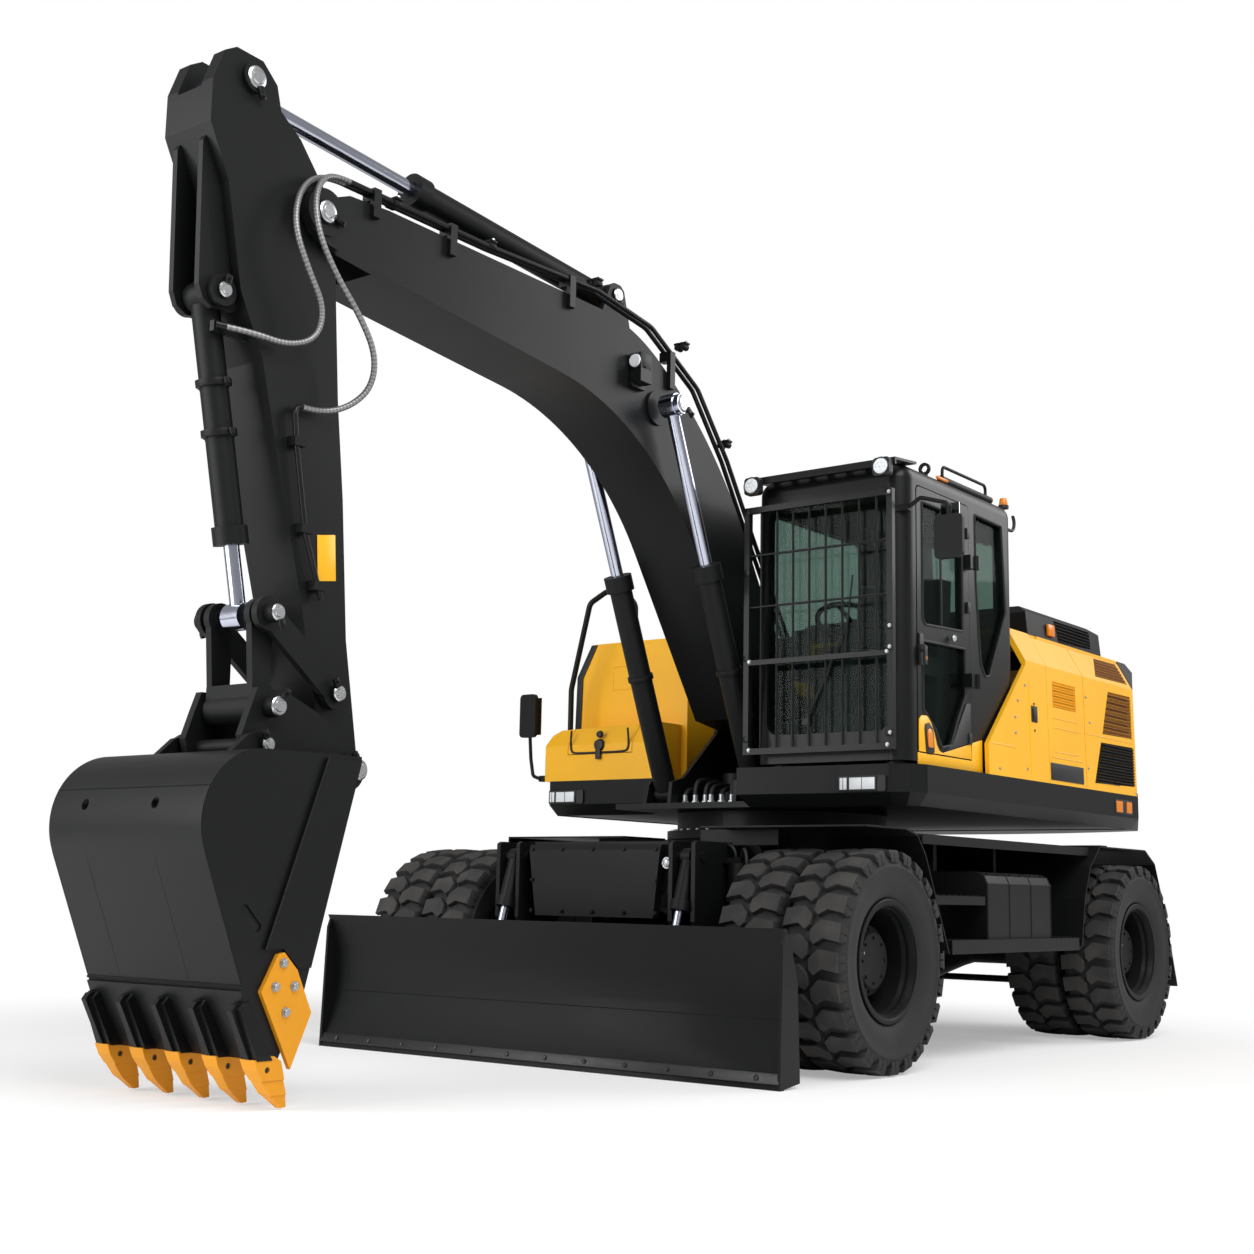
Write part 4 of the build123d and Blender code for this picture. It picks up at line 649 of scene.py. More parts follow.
def ring_tree(name, finish, axis):
    """Turns Count copies of the input about the axis X, Y or Z through Centre."""
    tree, given = start_tree(name, {"Count": "NodeSocketInt", "Centre": "NodeSocketVector"})
    away = add(tree, "ShaderNodeVectorMath", {"operation": "SCALE"},
               {0: given.outputs["Centre"], "Scale": -1.0})
    shape = add(tree, "GeometryNodeTransform", None,
                {"Geometry": given.outputs["Geometry"], "Translation": away.outputs[0]})
    step = add(tree, "ShaderNodeMath", {"operation": "DIVIDE"}, {0: math.tau, 1: given.outputs["Count"]})
    index = add(tree, "GeometryNodeInputIndex")
    angle = add(tree, "ShaderNodeMath", {"operation": "MULTIPLY"}, {0: index.outputs[0], 1: step.outputs[0]})
    points = add(tree, "GeometryNodePoints", None,
                 {"Count": given.outputs["Count"], "Position": given.outputs["Centre"]})
    spun = add(tree, "ShaderNodeCombineXYZ", None, {axis: angle.outputs[0]})
    copies = add(tree, "GeometryNodeInstanceOnPoints", None,
                 {"Points": points.outputs[0], "Instance": shape.outputs[0], "Rotation": spun.outputs[0]})
    return end_tree(tree, copies, finish)


def through_tree(name, form, tree, **values):
    """A mesh from a bmesh put through a tree."""
    bmesh.ops.recalc_face_normals(form, faces=form.faces)
    mesh = bpy.data.meshes.new(name)
    form.to_mesh(mesh)
    form.free()
    return grown(bpy.data.objects.new(name, mesh), tree, **values)


tread_tree = ring_tree("tread round the wheel", tread_rubber, "Y")
print("the ring tree takes", [item.name for item in tread_tree.interface.items_tree])

# %% [markdown]
# ## Tyres
# The carcass is one closed outline turned about the axle, with a bead, a bulged wall, a scuff rib
# and a shoulder. The tread is what repeats: 24 pairs of blocks, the two rows half a step apart and
# leaning like a chevron. A block has a slightly crowned top, walls that lean out towards its root,
# and a foot that runs down over the shoulder. A displaced cylinder would blur the blocks' edges, and
# a full model of 48 blocks would be hard to change, so two blocks are modelled and then repeated.

# %% The tyre's measures
AXLE_Z = 488.5
AXLES = {"front": 1454.0, "rear": -1454.0}
SIDES = (("left", 1), ("right", -1))
TWIN_Y = (900.0, 1229.0)
LUGS = 24
TREAD_R, GROOVE_R = 488.0, 462.0
# (radius, distance from the tyre's middle) from one bead over the groove floor to the other bead
WALL = (
    (264, 98), (270, 108), (284, 119), (300, 129), (330, 139), (365, 145), (398, 146), (402, 148.5),
    (412, 148.5), (416, 145), (432, 141), (446, 136), (458, 122), (GROOVE_R, 100), (GROOVE_R + 1.5, 50),
    (GROOVE_R + 2, 0),
)
CARCASS = list(WALL) + [(r, -w) for r, w in reversed(WALL[:-1])]
# outline of one block, (along the tread, distance from the tyre's middle)
BLOCK = ((-16, 5), (-54, 46), (-50, 88), (-42, 138), (38, 138), (30, 96), (24, 66), (50, 26), (30, 5))
BLOCK_MIDDLE = Vector((0, 70))
# (radius, spread) of a block's outline at its top, below its edge and under the groove's floor
LEVELS = ((TREAD_R, 0.0), (TREAD_R - 3, 2.0), (GROOVE_R - 6, 7.0))
HALF_TREAD, CROWN = 140, 5  # half the tread's width, and how much lower it lies there
SHOULDER_FROM = 120  # corners farther out than this lean out over the shoulder too
# (radius, distance from the tyre's middle) down a foot, and the two feet's limits along the tread
FOOT = ((TREAD_R - 7, 137), (TREAD_R - 22, 147), (430, 149.5), (424, 141), (GROOVE_R, 120))
FEET = ((-38, -4), (2, 32))
TREAD_FROM = (TREAD_R - 2.2) / 1000 - 0.006  # faces farther out than this are tread rubber
print("tread circumference", round(math.tau * TREAD_R), "mm for", LUGS, "pairs of blocks")

# %% One tread block


def block_form(form, axle_x, tyre_y, side, shift):
    """One tread block on the top of the tyre; shift moves it along the tread."""
    def on_tread(radius, along_tread, across):
        turn = (along_tread + shift) / TREAD_R
        return form.verts.new(at(
            axle_x + radius * math.sin(turn), tyre_y + side * across, AXLE_Z + radius * math.cos(turn)))

    rings = []
    for radius, spread in LEVELS:
        ring = []
        for corner in BLOCK:
            flare = spread * 0.6 if corner[1] > SHOULDER_FROM else 0
            reach = Vector(corner) - BLOCK_MIDDLE
            reach *= 1 + spread / reach.length
            flat = BLOCK_MIDDLE + reach
            crowned = radius - CROWN * (abs(flat.y) / HALF_TREAD) ** 4
            ring.append(on_tread(crowned, flat.x, flat.y + flare))
        rings.append(ring)
    form.faces.new(rings[0])
    for upper, lower in zip(rings, rings[1:]):
        for i in range(len(upper)):
            form.faces.new((upper[i], lower[i], lower[i - 1], upper[i - 1]))
    for limits in FEET:
        foot = [[on_tread(radius, s, across) for s in limits] for radius, across in FOOT]
        for near, far in zip(foot, foot[1:]):
            form.faces.new((near[0], near[1], far[1], far[0]))
        form.faces.new([pair[0] for pair in foot])
        form.faces.new([pair[1] for pair in foot][::-1])


# %% Carcass and tread of one tyre


def tyre_meshes(axle_x, tyre_y, side):
    """The turned carcass of one tyre and the ring of blocks on it."""
    carcass = bmesh.new()
    ring = [(r, tyre_y + w) for r, w in CARCASS]
    lathe(carcass, ring + [ring[0]], (axle_x, AXLE_Z), side, 96)
    bmesh.ops.remove_doubles(carcass, verts=carcass.verts, dist=1e-6)
    walls = bpy.data.meshes.new("carcass")
    carcass.to_mesh(walls)
    carcass.free()
    blocks = bmesh.new()
    half_step = math.tau * TREAD_R / LUGS / 2
    for row, shift in ((1, 0.0), (-1, half_step)):
        block_form(blocks, axle_x, side * tyre_y, row, shift)
    tread = through_tree("tread", blocks, tread_tree, Count=LUGS, Centre=at(axle_x, 0, AXLE_Z))
    return [walls, tread]


# %% Twin tyres
for end, axle_x in AXLES.items():
    for hand, side in SIDES:
        meshes = [mesh for tyre_y in TWIN_Y for mesh in tyre_meshes(axle_x, tyre_y, side)]
        tyres = piece(
            f"tyres_{end}_{hand}_rubber", joined(meshes), wall_rubber, f"wheel_{end}_{hand}")
        tyres.data.materials.append(tread_rubber)
        for polygon in tyres.data.polygons:
            height = (polygon.center - at(axle_x, polygon.center.y * 1000, AXLE_Z)).length
            polygon.material_index = 1 if height > TREAD_FROM else 0
        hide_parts(f"tyres_{end}_{hand}")
print("each tyre has", 2 * LUGS, "blocks; one pair holds", len(tyres.data.polygons), "faces")

# %% [markdown]
# ## Wheels: nuts, hubs and lock rings
# A truck rim is held by a ring of nuts on its disc, and the hub of the planetary drive stands out
# through it with its own ring of cover bolts. Each nut is a hexagon on a washer. One is made on
# the top of the wheel, and the ring tree sets the rest, so disc, hub flange and hub cover differ
# only in a row of numbers. Two turned rings on the rim's outer edge are the flange and the lock
# ring that hold the bead.

# %% A bolt


def bolt(form, place, axis, across, height=None):
    """Adds a hexagon head on its washer: place and across flats in millimetres, axis a direction.

    The usual proportions: a head 0.62 high, its corners 0.577 from the middle, a washer 0.72.
    """
    way = Vector(axis).normalized()
    height = height or across * 0.62
    foot = Vector(place)
    washer, chamfer, head = foot + way * across * 0.14, foot + way * height * 0.86, foot + way * height
    rod_between(form, foot - way * 0.6, washer, across * 0.72, 20)
    rod_between(form, washer, chamfer, across * 0.577, 6)
    rod_between(form, chamfer, head, across * 0.577, 6, across * 0.44)


# %% Nuts, rings and valves
DISC_Y = 1064.5
# (radius of the ring, y of its seat, count, size across flats): disc, hub flange and hub cover
NUT_RINGS = ((170, DISC_Y + 14, 10, 27), (134, 1245, 10, 15), (98, 1272, 8, 12))
# outlines (radius, y): rim flange, lock ring, disc's ring and hub's ring
RIM_RINGS = (
    ((269, 1346.5), (269, 1350), (265, 1353), (251, 1353), (247, 1350), (247, 1346.5)),
    ((236, 1322), (236, 1326), (229, 1326), (226, 1316), (228, 1309), (231, 1309)),
    ((152, 1110), (158, 1112), (158, 1124), (152, 1126)),
    ((119, 1262), (123, 1263), (123, 1268), (119, 1269)),
)
# (x from the axle, y, z above the axle) along the valve's stem, and the radius of its two lengths
VALVE = ((205, 1292, 40), (196, 1330, 38), (195, 1336, 38))
VALVE_RADII = (5, 6.5)
nut_tree = ring_tree("ring of painted nuts", frame_black, "Y")
for end, axle_x in AXLES.items():
    for hand, side in SIDES:
        wheel = f"wheel_{end}_{hand}"
        nuts, rings, valve = [], bmesh.new(), bmesh.new()
        for radius, seat, count, across in NUT_RINGS:
            nut = bmesh.new()
            bolt(nut, (axle_x, side * seat, AXLE_Z + radius), (0, side, 0), across)
            nuts.append(through_tree("nuts", nut, nut_tree, Count=count, Centre=at(axle_x, 0, AXLE_Z)))
        for ring in RIM_RINGS:
            lathe(rings, list(ring) + [ring[0]], (axle_x, AXLE_Z), side, 72)
        stem = [(axle_x + x, side * y, AXLE_Z + z) for x, y, z in VALVE]
        for a, b, radius in zip(stem, stem[1:], VALVE_RADII):
            rod_between(valve, a, b, radius, 12)
        piece(f"{wheel}_nuts", joined(nuts), frame_black, wheel)
        piece(f"{wheel}_rings", rings, frame_black, wheel)
        piece(f"{wheel}_valve", valve, zinc, wheel)
print("nuts on a wheel:", sum(count for _, _, count, _ in NUT_RINGS))

# %% [markdown]
# ## Pins of the front
# Each joint of boom, arm and bucket turns on a hardened pin. Its bright end cap is held by a small
# bar, the keeper, that a bolt fixes to the steel beside it, so the pin can't turn or walk out. One
# loop over a table turns the caps and cuts the keepers for every joint, on both sides: all of them
# share one outline, scaled to their radius.

# %% Pin caps
# (body, pin (x, z), y of the face, cap radius, direction of the keeper in degrees)
PINS = (
    ("boom", (3854, 3380), 202, 44, 200), ("boom", (350, 1700), 250, 40, 90),
    ("boom", (1870, 3655), 100, 33, 250), ("boom_rods", (1662, 3117), 350, 44, 215),
    ("arm", (4202, 3812), 155, 44, 250), ("arm", (4270, 2950), 125, 30, 100),
    ("rocker", (3675, 1496), 197, 31, 60), ("rocker", (4020, 1760), 221, 32, 250),
    ("bucket", (3589, 1207), 235, 38, 60), ("bucket", (4000, 1413), 228, 37, 120),
    ("bucket", (4050, 1268), 240, 28, 60), ("upper", (888, 1281), 382, 32, 100),
)
# a cap's outline: (share of the radius, height over the face)
CAP = ((0, 9), (0.55, 9), (0.62, 6), (0.86, 6), (1, 2), (1, -0.5))
KEEPER_FROM, KEEPER_TO = 0.8, 2.0  # where a keeper begins and ends, as shares of the cap's radius
KEEPER_HALF, KEEPER_THICK = 13, 13
for number, (body, pin, y, radius, lean) in enumerate(PINS):
    way = Vector((math.cos(math.radians(lean)), 0, math.sin(math.radians(lean))))
    half = Vector((-way.z, 0, way.x)) * KEEPER_HALF
    bright, dark = bmesh.new(), bmesh.new()
    for side in (-1, 1):
        lathe(bright, [(radius * share, y + height) for share, height in CAP], pin, side, 40)
        root = Vector((pin[0], side * (y - 1), pin[1]))
        near, far = root + way * radius * KEEPER_FROM, root + way * radius * KEEPER_TO
        push = Vector((0, side * KEEPER_THICK, 0))
        slab(dark, [near - half, far - half, far + half, near + half], push)
        bolt(dark, far - way * 14 + push, (0, side, 0), 15)
    piece(f"pin_cap_{number:02d}", bright, pin_cap, body)
    piece(f"pin_keeper_{number:02d}", dark, cab_black, body, bevel_mm=1.5)
print(len(PINS), "pins capped on both sides")

# %% [markdown]
# ## Bucket: welds
# The wrapped back plate is stiffened by an overlay whose welds show as two long seams and one
# across. A weld bead is a row of small overlapping scales. A bump could only hint at that, and it
# would vanish against the light, so one scale is made and a small tree repeats it along a way.

# %% Weld beads


def along_tree(name, finish, spacing_mm):
    """Sets copies of the input's scale along a curve, one every spacing, turned to follow it."""
    tree, given = start_tree(name, {"Scale": "NodeSocketObject"})
    info = add(tree, "GeometryNodeObjectInfo", None, {"Object": given.outputs["Scale"]})
    spaced = add(tree, "GeometryNodeCurveToPoints", {"mode": "LENGTH"},
                 {"Curve": given.outputs["Geometry"], "Length": spacing_mm / 1000})
    copies = add(tree, "GeometryNodeInstanceOnPoints", None, {
        "Points": spaced.outputs["Points"], "Instance": info.outputs["Geometry"],
        "Rotation": spaced.outputs["Rotation"]})
    return end_tree(tree, copies, finish)


def bead(name, ways, width_mm):
    """A mesh of charcoal weld scales along each way, given by places in millimetres."""
    scale = bmesh.new()
    bmesh.ops.create_icosphere(scale, subdivisions=1, radius=width_mm / 2000)
    bmesh.ops.scale(scale, vec=(1.0, 1.0, 0.62), verts=scale.verts)
    data = bpy.data.meshes.new("weld_scale")
    scale.to_mesh(data)
    scale.free()
    source = bpy.data.objects.new("weld_scale", data)
    scene.collection.objects.link(source)
    line = bpy.data.curves.new(name, "CURVE")
    line.dimensions = "3D"
    for way in ways:
        spline = line.splines.new("POLY")
        spline.points.add(len(way) - 1)
        for point, place in zip(spline.points, way):
            point.co = (*at(*place), 1.0)
    tree = along_tree(name, charcoal, width_mm * 0.42)
    mesh = grown(bpy.data.objects.new(name, line), tree, Scale=source)
    bpy.data.objects.remove(source)
    return mesh


# %% The line of the bucket's back
# the back plate's section: a straight top, one bend about BACK_MIDDLE, a straight back
BACK_MIDDLE, BACK_R = (4223, 969), 260.0
BACK_TOP = 870  # the straight back's upper end
BACK_FOOT, BACK_RUN, BACK_RISE = (4258, 378), 205, 489  # its lower end and its slope
SEAM_SHIFT, BEND_FROM, BEND_TO = 35, 900, 1100


def on_back(y, low, high, out=-4.3):
    """Places on the bucket's outer back at one y, from a low height up round the bend."""
    places = []
    for i in range(7):
        z = low + (BACK_TOP - low) * i / 6
        places.append((BACK_FOOT[0] + (z - BACK_FOOT[1]) * BACK_RUN / BACK_RISE + out, y, z))
    for i in range(12):
        turn = math.radians(-22 + 6 * i)
        z = BACK_MIDDLE[1] + (BACK_R + out) * math.sin(turn)
        if BACK_TOP < BACK_MIDDLE[1] + BACK_R * math.sin(turn) < high:
            places.append((BACK_MIDDLE[0] + (BACK_R + out) * math.cos(turn), y, z))
    return places


def seam_y(y, z):
    """A long seam's y: shifted to the left up the straight back, and back to y over the bend."""
    return y + SEAM_SHIFT * (1 if z < BEND_FROM else (BEND_TO - z) / (BEND_TO - BEND_FROM))


# %% Bucket seams
BACK_ACROSS = (-428, -200, 0, 200, 428)
seams = [[(x, seam_y(y, z), z) for x, y, z in on_back(start, 440, 1092)] for start in (-268, 120)]
top_seam = [(4452, y, 1091) for y in BACK_ACROSS]
lip_seam = [(4278, y, 421) for y in BACK_ACROSS]
strip_seams = [[(3937, side * 441, 1221), (4186, side * 441, 545)] for side in (-1, 1)]
edge_seams = [[(x, side * 429, z) for x, _, z in on_back(0, 430, 1180, -2.0)] for side in (-1, 1)]
for name, ways, width in (
    ("bucket_welds", seams + [top_seam, lip_seam] + strip_seams, 12), ("bucket_edge_welds", edge_seams, 7),
):
    piece(name, bead(name, ways, width), charcoal, "bucket", merge=False)
print(len(seams) + len(strip_seams) + len(edge_seams) + 2, "seams welded")

# %% [markdown]
# ## Bucket: bolts, tooth pins and slots
# Each side cutter is held by four bright bolts, and each tooth by a steel pin that is driven in
# from the side. The slots in the bucket's sides are shallow, so a thin plate closes each of them.

# %% Cutter bolts, tooth pins and slot patches
TEETH, LIP_WIDTH = 5, 814
bolts, pins, patches = bmesh.new(), bmesh.new(), bmesh.new()
for side in (-1, 1):
    for x, z in ((4112, 498), (4144, 418), (4058, 418), (4092, 331)):
        bolt(bolts, (x, side * 448, z), (0, side, 0), 24)
    slot = [(x, side * 425, z) for x, z in ((4290, 716), (4314, 692), (4218, 592), (4192, 612))]
    slab(patches, slot, (0, -side * 6, 0))
for i in range(TEETH):
    y = LIP_WIDTH * (i / (TEETH - 1) - 0.5)
    for side in (-1, 1):
        rod_between(pins, (4156, y + side * 20, 140), (4156, y + side * 30, 140), 9.5, 16)
piece("cutter_bolts", bolts, zinc, "bucket")
piece("tooth_pins", pins, cut_steel, "bucket")
piece("slot_patches", patches, charcoal, "bucket", bevel_mm=1)
print("bucket finished")

# %% [markdown]
# ## Blade
# The blade is one rolled plate. Its cutting edge is a bolted bar along the bottom, and a long weld
# runs across the face where the lower stiffener sits behind it.

# %% Blade details
EDGE_BOLTS, EDGE_PITCH = 12, 220
blade_welds = bead("blade_welds", [[(2207, y, 268) for y in range(-1300, 1301, 200)]], 8)
piece("blade_weld", blade_welds, charcoal, "blade", merge=False)
edge_bar, bolts = bmesh.new(), bmesh.new()
slab(edge_bar, [(2279, -1318, 62), (2279, 1318, 62), (2292, 1318, 20), (2292, -1318, 20)], (9, 0, 4))
for i in range(EDGE_BOLTS):
    bolt(bolts, (2294, EDGE_PITCH * (i - (EDGE_BOLTS - 1) / 2), 44), (0.92, 0, 0.3), 18, 7)
piece("blade_edge_bar", edge_bar, cut_steel, "blade", bevel_mm=2)
piece("blade_edge_bolts", bolts, cut_steel, "blade")
print("blade finished")

# %% [markdown]
# ## Cab side: sheets
# The cab's lower side carries the body colour: a thin sheet that starts behind the front corner,
# dips under the door's lower glass and meets the house's panel. The door's share of it swings with
# the door, and a dark corner panel closes the lower glass at the rear. Painting the colour onto the
# cab would leave no edge, so each is a thin flat plate cut to an outline, with its edge rounded.

# %% Sheets on the cab's side
SIDE_Y, DOOR_Y = 1245, 1247


def cut_sheet(name, corners, y, thick, finish, body, slot, bevel_mm):
    """A flat plate on the left side: its corners (x, z), the y of its back and its thickness."""
    form = bmesh.new()
    slab(form, [(x, y, z) for x, z in corners], (0, thick, 0))
    piece(name, form, finish, body, bevel_mm=bevel_mm)


# (name, corners (x, z), y of the back, thickness, finish, body, slot, bevel)
SHEETS = (
    ("cab_lower_sheet", (
        (303, 1387), (984, 1387), (984, 1441), (417, 1441), (417, 1529), (303, 1554)),
     SIDE_Y, 4, yellow, "upper", "yellow", 1.2),
    ("door_lower_sheet", (
        (426, 1447), (976, 1447), (974, 1600), (950, 1618), (900, 1622), (872, 1611), (846, 1584),
        (818, 1540), (795, 1490), (772, 1465), (735, 1456), (430, 1524)),
     DOOR_Y, 4, yellow, "cab_door", "yellow", 1.2),
    ("door_corner_panel", (
        (432, 1531), (716, 1466), (628, 1506), (560, 1610), (478, 1720), (432, 1726)),
     DOOR_Y, 5, black_plastic, "cab_door", "plastic", 1.5),
)
for sheet in SHEETS:
    cut_sheet(*sheet)
print(len(SHEETS), "sheets on the cab's side")

# %% [markdown]
# ## Cab side: lamp, handle and seals
# An amber lamp sits in a black slot at the front of the door's sheet, its lens a smaller copy of
# the slot's outline. The door has a long guide bar, a recessed handle with its lock, a turned knob
# and three hinges. A rubber seal runs round each pane and bends tightly at the corners.

# %% Side lamp
LENS_SHARE = 0.62
outline = (
    (828, 1455), (840, 1444), (900, 1444), (911, 1455), (924, 1560), (916, 1582), (880, 1590), (848, 1568),
    (836, 1540))
lamp_x, lamp_z = 873, 1515
lens_outline = [(lamp_x + (x - lamp_x) * LENS_SHARE, lamp_z + (z - lamp_z) * LENS_SHARE) for x, z in outline]
lens_y = DOOR_Y + 4 + 5 * LENS_SHARE
cut_sheet("side_lamp_slot", outline, DOOR_Y + 4, 5, black_plastic, "cab_door", "plastic", 2)
cut_sheet("side_lamp_lens", lens_outline, lens_y, 7, amber_glow, "cab_door", None, 3)
print("side lamp set in the door's sheet")

# %% Door trim, knob and lock
trim, knob, lock = bmesh.new(), bmesh.new(), bmesh.new()
for x, radius in ((712, 4), (718, 6)):
    rod_between(trim, (x, DOOR_Y - 8, 2072), (x, DOOR_Y - 8, 2652), radius, 10)
block(trim, (930, 970), (DOOR_Y, DOOR_Y + 8), (1860, 2010))
rod_between(trim, (950, DOOR_Y + 4, 1940), (950, DOOR_Y + 26, 1940), 20, 28, 15)
block(trim, (938, 962), (DOOR_Y + 20, DOOR_Y + 32), (1860, 1950))
for z in (1520, 2180, 2560):
    block(trim, (434, 462), (DOOR_Y - 1, DOOR_Y + 12), (z, z + 54))
# turned outlines (radius, height over the door)
KNOB = ((0, 30), (13, 30), (18, 24), (18, 14), (9, 10), (9, -1))
LOCK = ((0, 36), (8, 36), (11, 33), (11, 25))
lathe(knob, [(radius, DOOR_Y + height) for radius, height in KNOB], (640, 2026), 1, 28)
lathe(lock, [(radius, DOOR_Y + height) for radius, height in LOCK], (950, 1890), 1, 24)
piece("door_trim", trim, black_plastic, "cab_door", bevel_mm=1.5)
piece("door_knob", knob, zinc, "cab_door")
piece("door_lock", lock, copper_mesh, "cab_door")
print("door fittings finished")

# %% Window seals
SEAL_RADIUS, CORNER_BEND = 7.0, 24


def seal(name, corners, y, body):
    """A rubber seal on a side at y, round the corners (x, z) of a pane."""
    points = []
    for i, (x, z) in enumerate(corners):
        bend = []
        for other in (corners[i - 1], corners[(i + 1) % len(corners)]):
            way = Vector((other[0] - x, other[1] - z))
            short = way.normalized() * min(CORNER_BEND, way.length * 0.4)
            bend.append((x + short.x, y, z + short.y))
        points += [bend[0], (x, y, z), bend[1]]
    piece(name, pipe(name, points, SEAL_RADIUS, closed=True, resolution=2), seal_rubber, body)


# (name, corners (x, z), y, body)
SEALS = (
    ("door_upper_seal", ((500, 2660), (500, 2080), (900, 2060), (925, 2090), (925, 2660)),
     DOOR_Y - 1, "cab_door"),
    ("door_lower_seal", (
        (478, 1995), (478, 1760), (560, 1640), (640, 1500), (740, 1482), (800, 1560), (925, 1650),
        (925, 1980)),
     DOOR_Y - 1, "cab_door"),
    ("quarter_seal", (
        (350, 2705), (345, 2350), (300, 1940), (250, 1880), (200, 1890), (0, 2240), (40, 2700)),
     SIDE_Y - 1, "upper"),
)
for row in SEALS:
    seal(*row)
print(len(SEALS), "seals laid")

# %% [markdown]
# ## Cab inside: the seat
# The operator's seat is a foam pad under vinyl: it swells between its edges and is flat only where
# it rests. A pad starts a little small, as a plate with rounded edges, and is divided evenly by a
# voxel remesh. Cloth pressure then blows it up for a few frames, a cap keeps it in its place, and
# one subdivision smooths it. The pads have no sewn piping.

# %% Padded seat
PAD_INSET, PAD_ROUND, PAD_SWELL = 14, 22, 14  # start inside the limits, edge, most that it swells
VOXEL = 0.012  # coarser than a sewn seat needs, and enough for pads that are seen through glass
CLOTH_PRESSURE, CLOTH_FRAMES = 4.0, 20


def inflated(name, corners, y):
    """A padded form: a rounded plate with corners (x, z) between two y limits, blown up by cloth."""
    form = bmesh.new()
    slab(form, [(x, y[0] + PAD_INSET, z) for x, z in corners], (0, y[1] - y[0] - 2 * PAD_INSET, 0))
    bmesh.ops.recalc_face_normals(form, faces=form.faces)
    data = bpy.data.meshes.new(name)
    form.to_mesh(data)
    form.free()
    obj = bpy.data.objects.new(name, data)
    scene.collection.objects.link(obj)
    rounding = obj.modifiers.new("round", "BEVEL")
    rounding.width = PAD_ROUND / 1000
    rounding.segments = 4
    remesh = obj.modifiers.new("remesh", "REMESH")
    remesh.mode = "VOXEL"
    remesh.voxel_size = VOXEL
    obj.data = evaluated(obj)
    obj.modifiers.clear()
    start = [v.co.copy() for v in obj.data.vertices]
    cloth = obj.modifiers.new("cloth", "CLOTH")
    cloth.settings.use_pressure = True
    cloth.settings.uniform_pressure_force = CLOTH_PRESSURE
    cloth.settings.effector_weights.gravity = 0.0
    cloth.point_cache.frame_start, cloth.point_cache.frame_end = 1, CLOTH_FRAMES
    for frame_number in range(1, CLOTH_FRAMES + 1):
        scene.frame_set(frame_number)
    swollen = evaluated(obj)
    scene.frame_set(1)
    bpy.data.objects.remove(obj)
    for vertex, before in zip(swollen.vertices, start):
        move = vertex.co - before
        if move.length > PAD_SWELL / 1000:
            vertex.co = before + move.normalized() * PAD_SWELL / 1000
    return swollen


# (name, corners (x, z), y limits)
PADS = (
    ("seat_cushion", (
        (340, 1836), (800, 1848), (838, 1880), (832, 1925), (780, 1948), (420, 1925), (350, 1900)),
     (608, 1072)),
    ("seat_back", (
        (432, 1920), (520, 1945), (500, 2150), (470, 2370), (410, 2392), (384, 2350), (400, 2140)),
     (612, 1068)),
    ("head_rest", (
        (405, 2405), (480, 2410), (486, 2500), (462, 2562), (412, 2566), (392, 2500)),
     (712, 968)),
)
for name, corners, y in PADS:
    pad = piece(name, inflated(name, corners, y), vinyl, "upper")
    pad.modifiers.new("smooth", "SUBSURF").levels = 1
    pad.data = evaluated(pad)
    pad.modifiers.clear()
    print(name, len(pad.data.polygons), "faces")

# %% [markdown]
# ## Cab inside: controls
# A joystick in a rubber boot stands on each side of the seat, and two pedals with their levers
# before it. The steering wheel's rim is a ring of small rings, which stay round however the wheel
# leans, with three spokes and a boss. A small display leans on its stalk at the cab's front corner.

# %% Levers and pedals
SEAT_Y = 840
controls = bmesh.new()
for side in (-1, 1):
    y = SEAT_Y + side * 295
    rod_between(controls, (840, y, 1935), (880, y, 1925), 34, 20, 26)
    rod_between(controls, (880, y, 1925), (900, y, 2010), 9, 12)
    rod_between(controls, (896, y, 1990), (912, y - side * 4, 2085), 19, 16, 24)
for y in (770, 910):
    rod_between(controls, (960, y, 1450), (975, y, 1620), 8, 10)
    block(controls, (930, 1010), (y - 45, y + 45), (1452, 1470))
piece("levers", controls, black_plastic, "upper", bevel_mm=2)
print("two levers and two pedals")

# %% Steering wheel
RIM_R, RIM_THICK, RIM_STEPS, ROUND_STEPS = 185, 14, 48, 10
hub, lean = Vector((868, SEAT_Y, 2095)), Vector((-0.42, 0, 0.9)).normalized()
sideways = Vector((0, 1, 0))
across = lean.cross(sideways).normalized()
wheel, ring = bmesh.new(), []
for i in range(RIM_STEPS):
    turn = math.tau * i / RIM_STEPS
    out = sideways * math.cos(turn) + across * math.sin(turn)
    ring.append([
        wheel.verts.new(at(*(hub + out * RIM_R + (out * math.cos(t) + lean * math.sin(t)) * RIM_THICK)))
        for t in (math.tau * j / ROUND_STEPS for j in range(ROUND_STEPS))])
for i in range(RIM_STEPS):
    for j in range(ROUND_STEPS):
        wheel.faces.new((ring[i - 1][j - 1], ring[i][j - 1], ring[i][j], ring[i - 1][j]))
for turn in (0.25, math.pi - 0.25, math.pi * 1.5):
    out = sideways * math.cos(turn) + across * math.sin(turn)
    rod_between(wheel, hub, hub + out * 182, 13, 10, 10)
rod_between(wheel, hub - lean * 30, hub + lean * 14, 42, 24, 34)
piece("steering_wheel", wheel, black_plastic, "upper")
print("steering wheel", 2 * RIM_R, "mm across")

# %% Display
display = bmesh.new()
slab(display, [(985, 465, 1900), (985, 640, 1900), (955, 640, 2040), (955, 465, 2040)], (26, 0, 6))
rod_between(display, (995, 550, 1560), (985, 550, 1930), 14, 12)
piece("display", display, black_plastic, "upper", bevel_mm=4)
print("cab inside finished")

